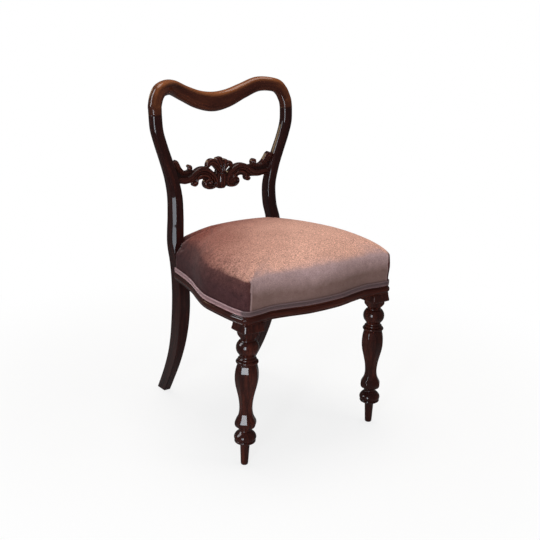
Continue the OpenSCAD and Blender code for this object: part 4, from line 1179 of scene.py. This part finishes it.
# The cloth's edge is the seat's outline drawn in, with a square cut out round each front leg
half = plan_out(-dust_inset)
half[:, 1] = np.minimum(half[:, 1], stile_front - stile_gap)
low_x, high_y = leg_x - leg_notch, leg_y + leg_notch
front = half[(half[:, 0] < low_x) & (half[:, 1] < leg_y)]
side = half[(half[:, 1] > high_y)]
notch = [(low_x, y) for y in np.linspace(front[-1][1], high_y, 8)] + [
    (x, high_y) for x in np.linspace(low_x, side[0][0], 8)[1:]]
inner = stile_inner(rail_z) - stile_gap
behind = [(inner, y) for y in np.linspace(stile_front - stile_gap, back_rear - dust_inset, 5)]
back = [(inner * share, back_rear - dust_inset) for share in np.linspace(1, 0, 12)[1:]]
dust_line = both_sides(np.vstack([front, notch, side, behind, back]))
dust_piece = stretched_cloth("dust_cloth_stretched", dust_line, dust_low.z, dust_sag, dust_high.z - dust_low.z)
fitted(dust_piece, woven("black_cotton", (0.012, 0.012, 0.014), (0.045, 0.045, 0.05), 0.0009),
       "dust_cloth")

head_tree = repeating_tree("tack_heads", ("Radius", "Rise"), (
    ("ball", "GeometryNodeMeshUVSphere", {"Segments": 16, "Rings": 8, "Radius": 1.0}),
    ("size", "ShaderNodeCombineXYZ", {}), ("dome", "GeometryNodeTransform", {})), (
    "in.Radius > size.X", "in.Radius > size.Y", "in.Rise > size.Z", "ball.Mesh > dome.Geometry",
    "size.Vector > dome.Scale", "in.Geometry > place.Points", "dome.Geometry > place.Instance"))
rail_thick = 0.026
head_radius, head_rise = 0.0042, 0.0012
tack_points = []
for k in range(-2, 3):
    tack_points.append((k * corner_x * 0.3, front_y + front_hollow + rail_thick / 2))
    tack_points.append((k * stile_out * 0.33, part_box("back_seat_rail")[0].y + rail_thick / 2))
for share in (0.2, 0.35, 0.5, 0.65, 0.8):
    y = corner_y + share * (stile_front - corner_y)
    tack_points += [(side * (side_face(y) - rail_thick / 2), y) for side in (-1, 1)]
heads = bpy.data.meshes.new("dust_tack_heads")
heads.from_pydata([(x, y, dust_low.z) for x, y in tack_points], [], [])
tack_heads = grown(placed("dust_tack_heads", heads), head_tree, {
    "Radius": head_radius, "Rise": head_rise, "Material": blued_steel})
fitted(tack_heads, blued_steel, "dust_cloth_tacks")

# Studio
# A white floor that keeps the shadow, a tall window at the left front, and broad soft light from above and from
# the right. Two more windows and a warm door only show in the polish, which mirrors the white surroundings weakly,
# because a real room is darker than its paper background.
mirrored_share = 0.14
room_strength = 0.36
paper_from, paper_to, paper_share = 0.45, 1.3, 0.80
floor_reach = 8


def ray_kinds(start):
    """Whether a ray is the camera's, a reflection's or one through glass, as three values."""
    return [start.node("ShaderNodeLightPath", output=number) for number in (0, 3, 6)]


# Near the chair the floor shows some of its shadow, and further out it is plain paper
place, lay = new_finish("floor_white", Base_Color=(0.9, 0.9, 0.9, 1), Roughness=0.9, Specular_IOR_Level=0.1)
distance = place.node("ShaderNodeVectorMath", {"operation": "LENGTH"}, {0: place}, output=1)
share = distance.spread(paper_from, paper_to, paper_share, 1.0, smooth=True)
seen, glossy, through = ray_kinds(place)
paper = place.node("ShaderNodeEmission", {}, {"Strength": 1 - glossy * (1 - mirrored_share)})
floor_white = lay()
nodes = floor_white.node_tree.nodes
plain = Socket(floor_white.node_tree, nodes["Principled BSDF"].outputs["BSDF"])
mixed = place.node("ShaderNodeMixShader", {}, {0: (seen + glossy + through) * share, 1: plain, 2: paper})
floor_white.node_tree.links.new(mixed.output, nodes["Material Output"].inputs["Surface"])
floor_mesh = bpy.data.meshes.new("floor")
floor_mesh.from_pydata([(x * floor_reach, y * floor_reach, 0) for x, y in ((-1, -1), (1, -1), (1, 1), (-1, 1))],
                       [], [(0, 1, 2, 3)])
floor_mesh.materials.append(floor_white)
placed("floor", floor_mesh)


def window(name, place, target, wide, high, power, tint, lights=True, mirrored=True):
    """A soft rectangular light that faces a point. It may only light, or only be mirrored in the polish."""
    light = bpy.data.lights.new(name, "AREA")
    light.shape = "RECTANGLE"
    light.size, light.size_y = wide, high
    light.energy = power
    light.color = tint
    lamp = placed(name, light)
    lamp.visible_camera, lamp.visible_diffuse, lamp.visible_glossy = False, lights, mirrored
    place = Vector(place)
    way = Vector(target) - place
    lamp.matrix_world = Matrix.Translation(place) @ way.to_track_quat("-Z", "Y").to_matrix().to_4x4()


window("tall_window", (-1.68, -1.28, 0.60), (0, 0, 0.60), 0.25, 1.18, 20, (0.86, 0.93, 1.0))
window("left_window", (-2.0, -1.06, 0.66), (-0.15, 0.13, 0.66), 0.60, 1.28, 24, (0.80, 0.90, 1.0), lights=False)
window("shoulder_window", (-2.32, 1.33, 2.40), (-0.2, 0.2, 1.2), 1.2, 2.6, 115, (0.92, 0.95, 1.0), lights=False)
window("warm_door", (-0.31, 0.92, 1.04), (0.17, 0.16, 0.68), 0.20, 0.26, 0.8, (1.0, 0.74, 0.44), lights=False)
window("front_soft", (1.9, -2.6, 1.9), (0, 0, 0.4), 1.2, 1.2, 14, (1.0, 0.95, 0.90), mirrored=False)
window("top_soft", (0.1, 0.2, 2.9), (0, 0, 0.4), 1.6, 1.6, 44, (1.0, 0.96, 0.92))

world = bpy.data.worlds.new("room")
bpy.context.scene.world = world
world.use_nodes = True
room_light = Socket(world.node_tree)
seen, glossy, through = ray_kinds(room_light)
background = world.node_tree.nodes["Background"]
background.inputs["Color"].default_value = (1, 1, 1, 1)
# White to the camera and through glass, and as strong in reflections as the floor
strength = room_strength + (seen + through) * (1 - room_strength) + glossy * (mirrored_share - room_strength)
world.node_tree.links.new(strength.output, background.inputs["Strength"])
bpy.context.scene.view_settings.view_transform = "Standard"
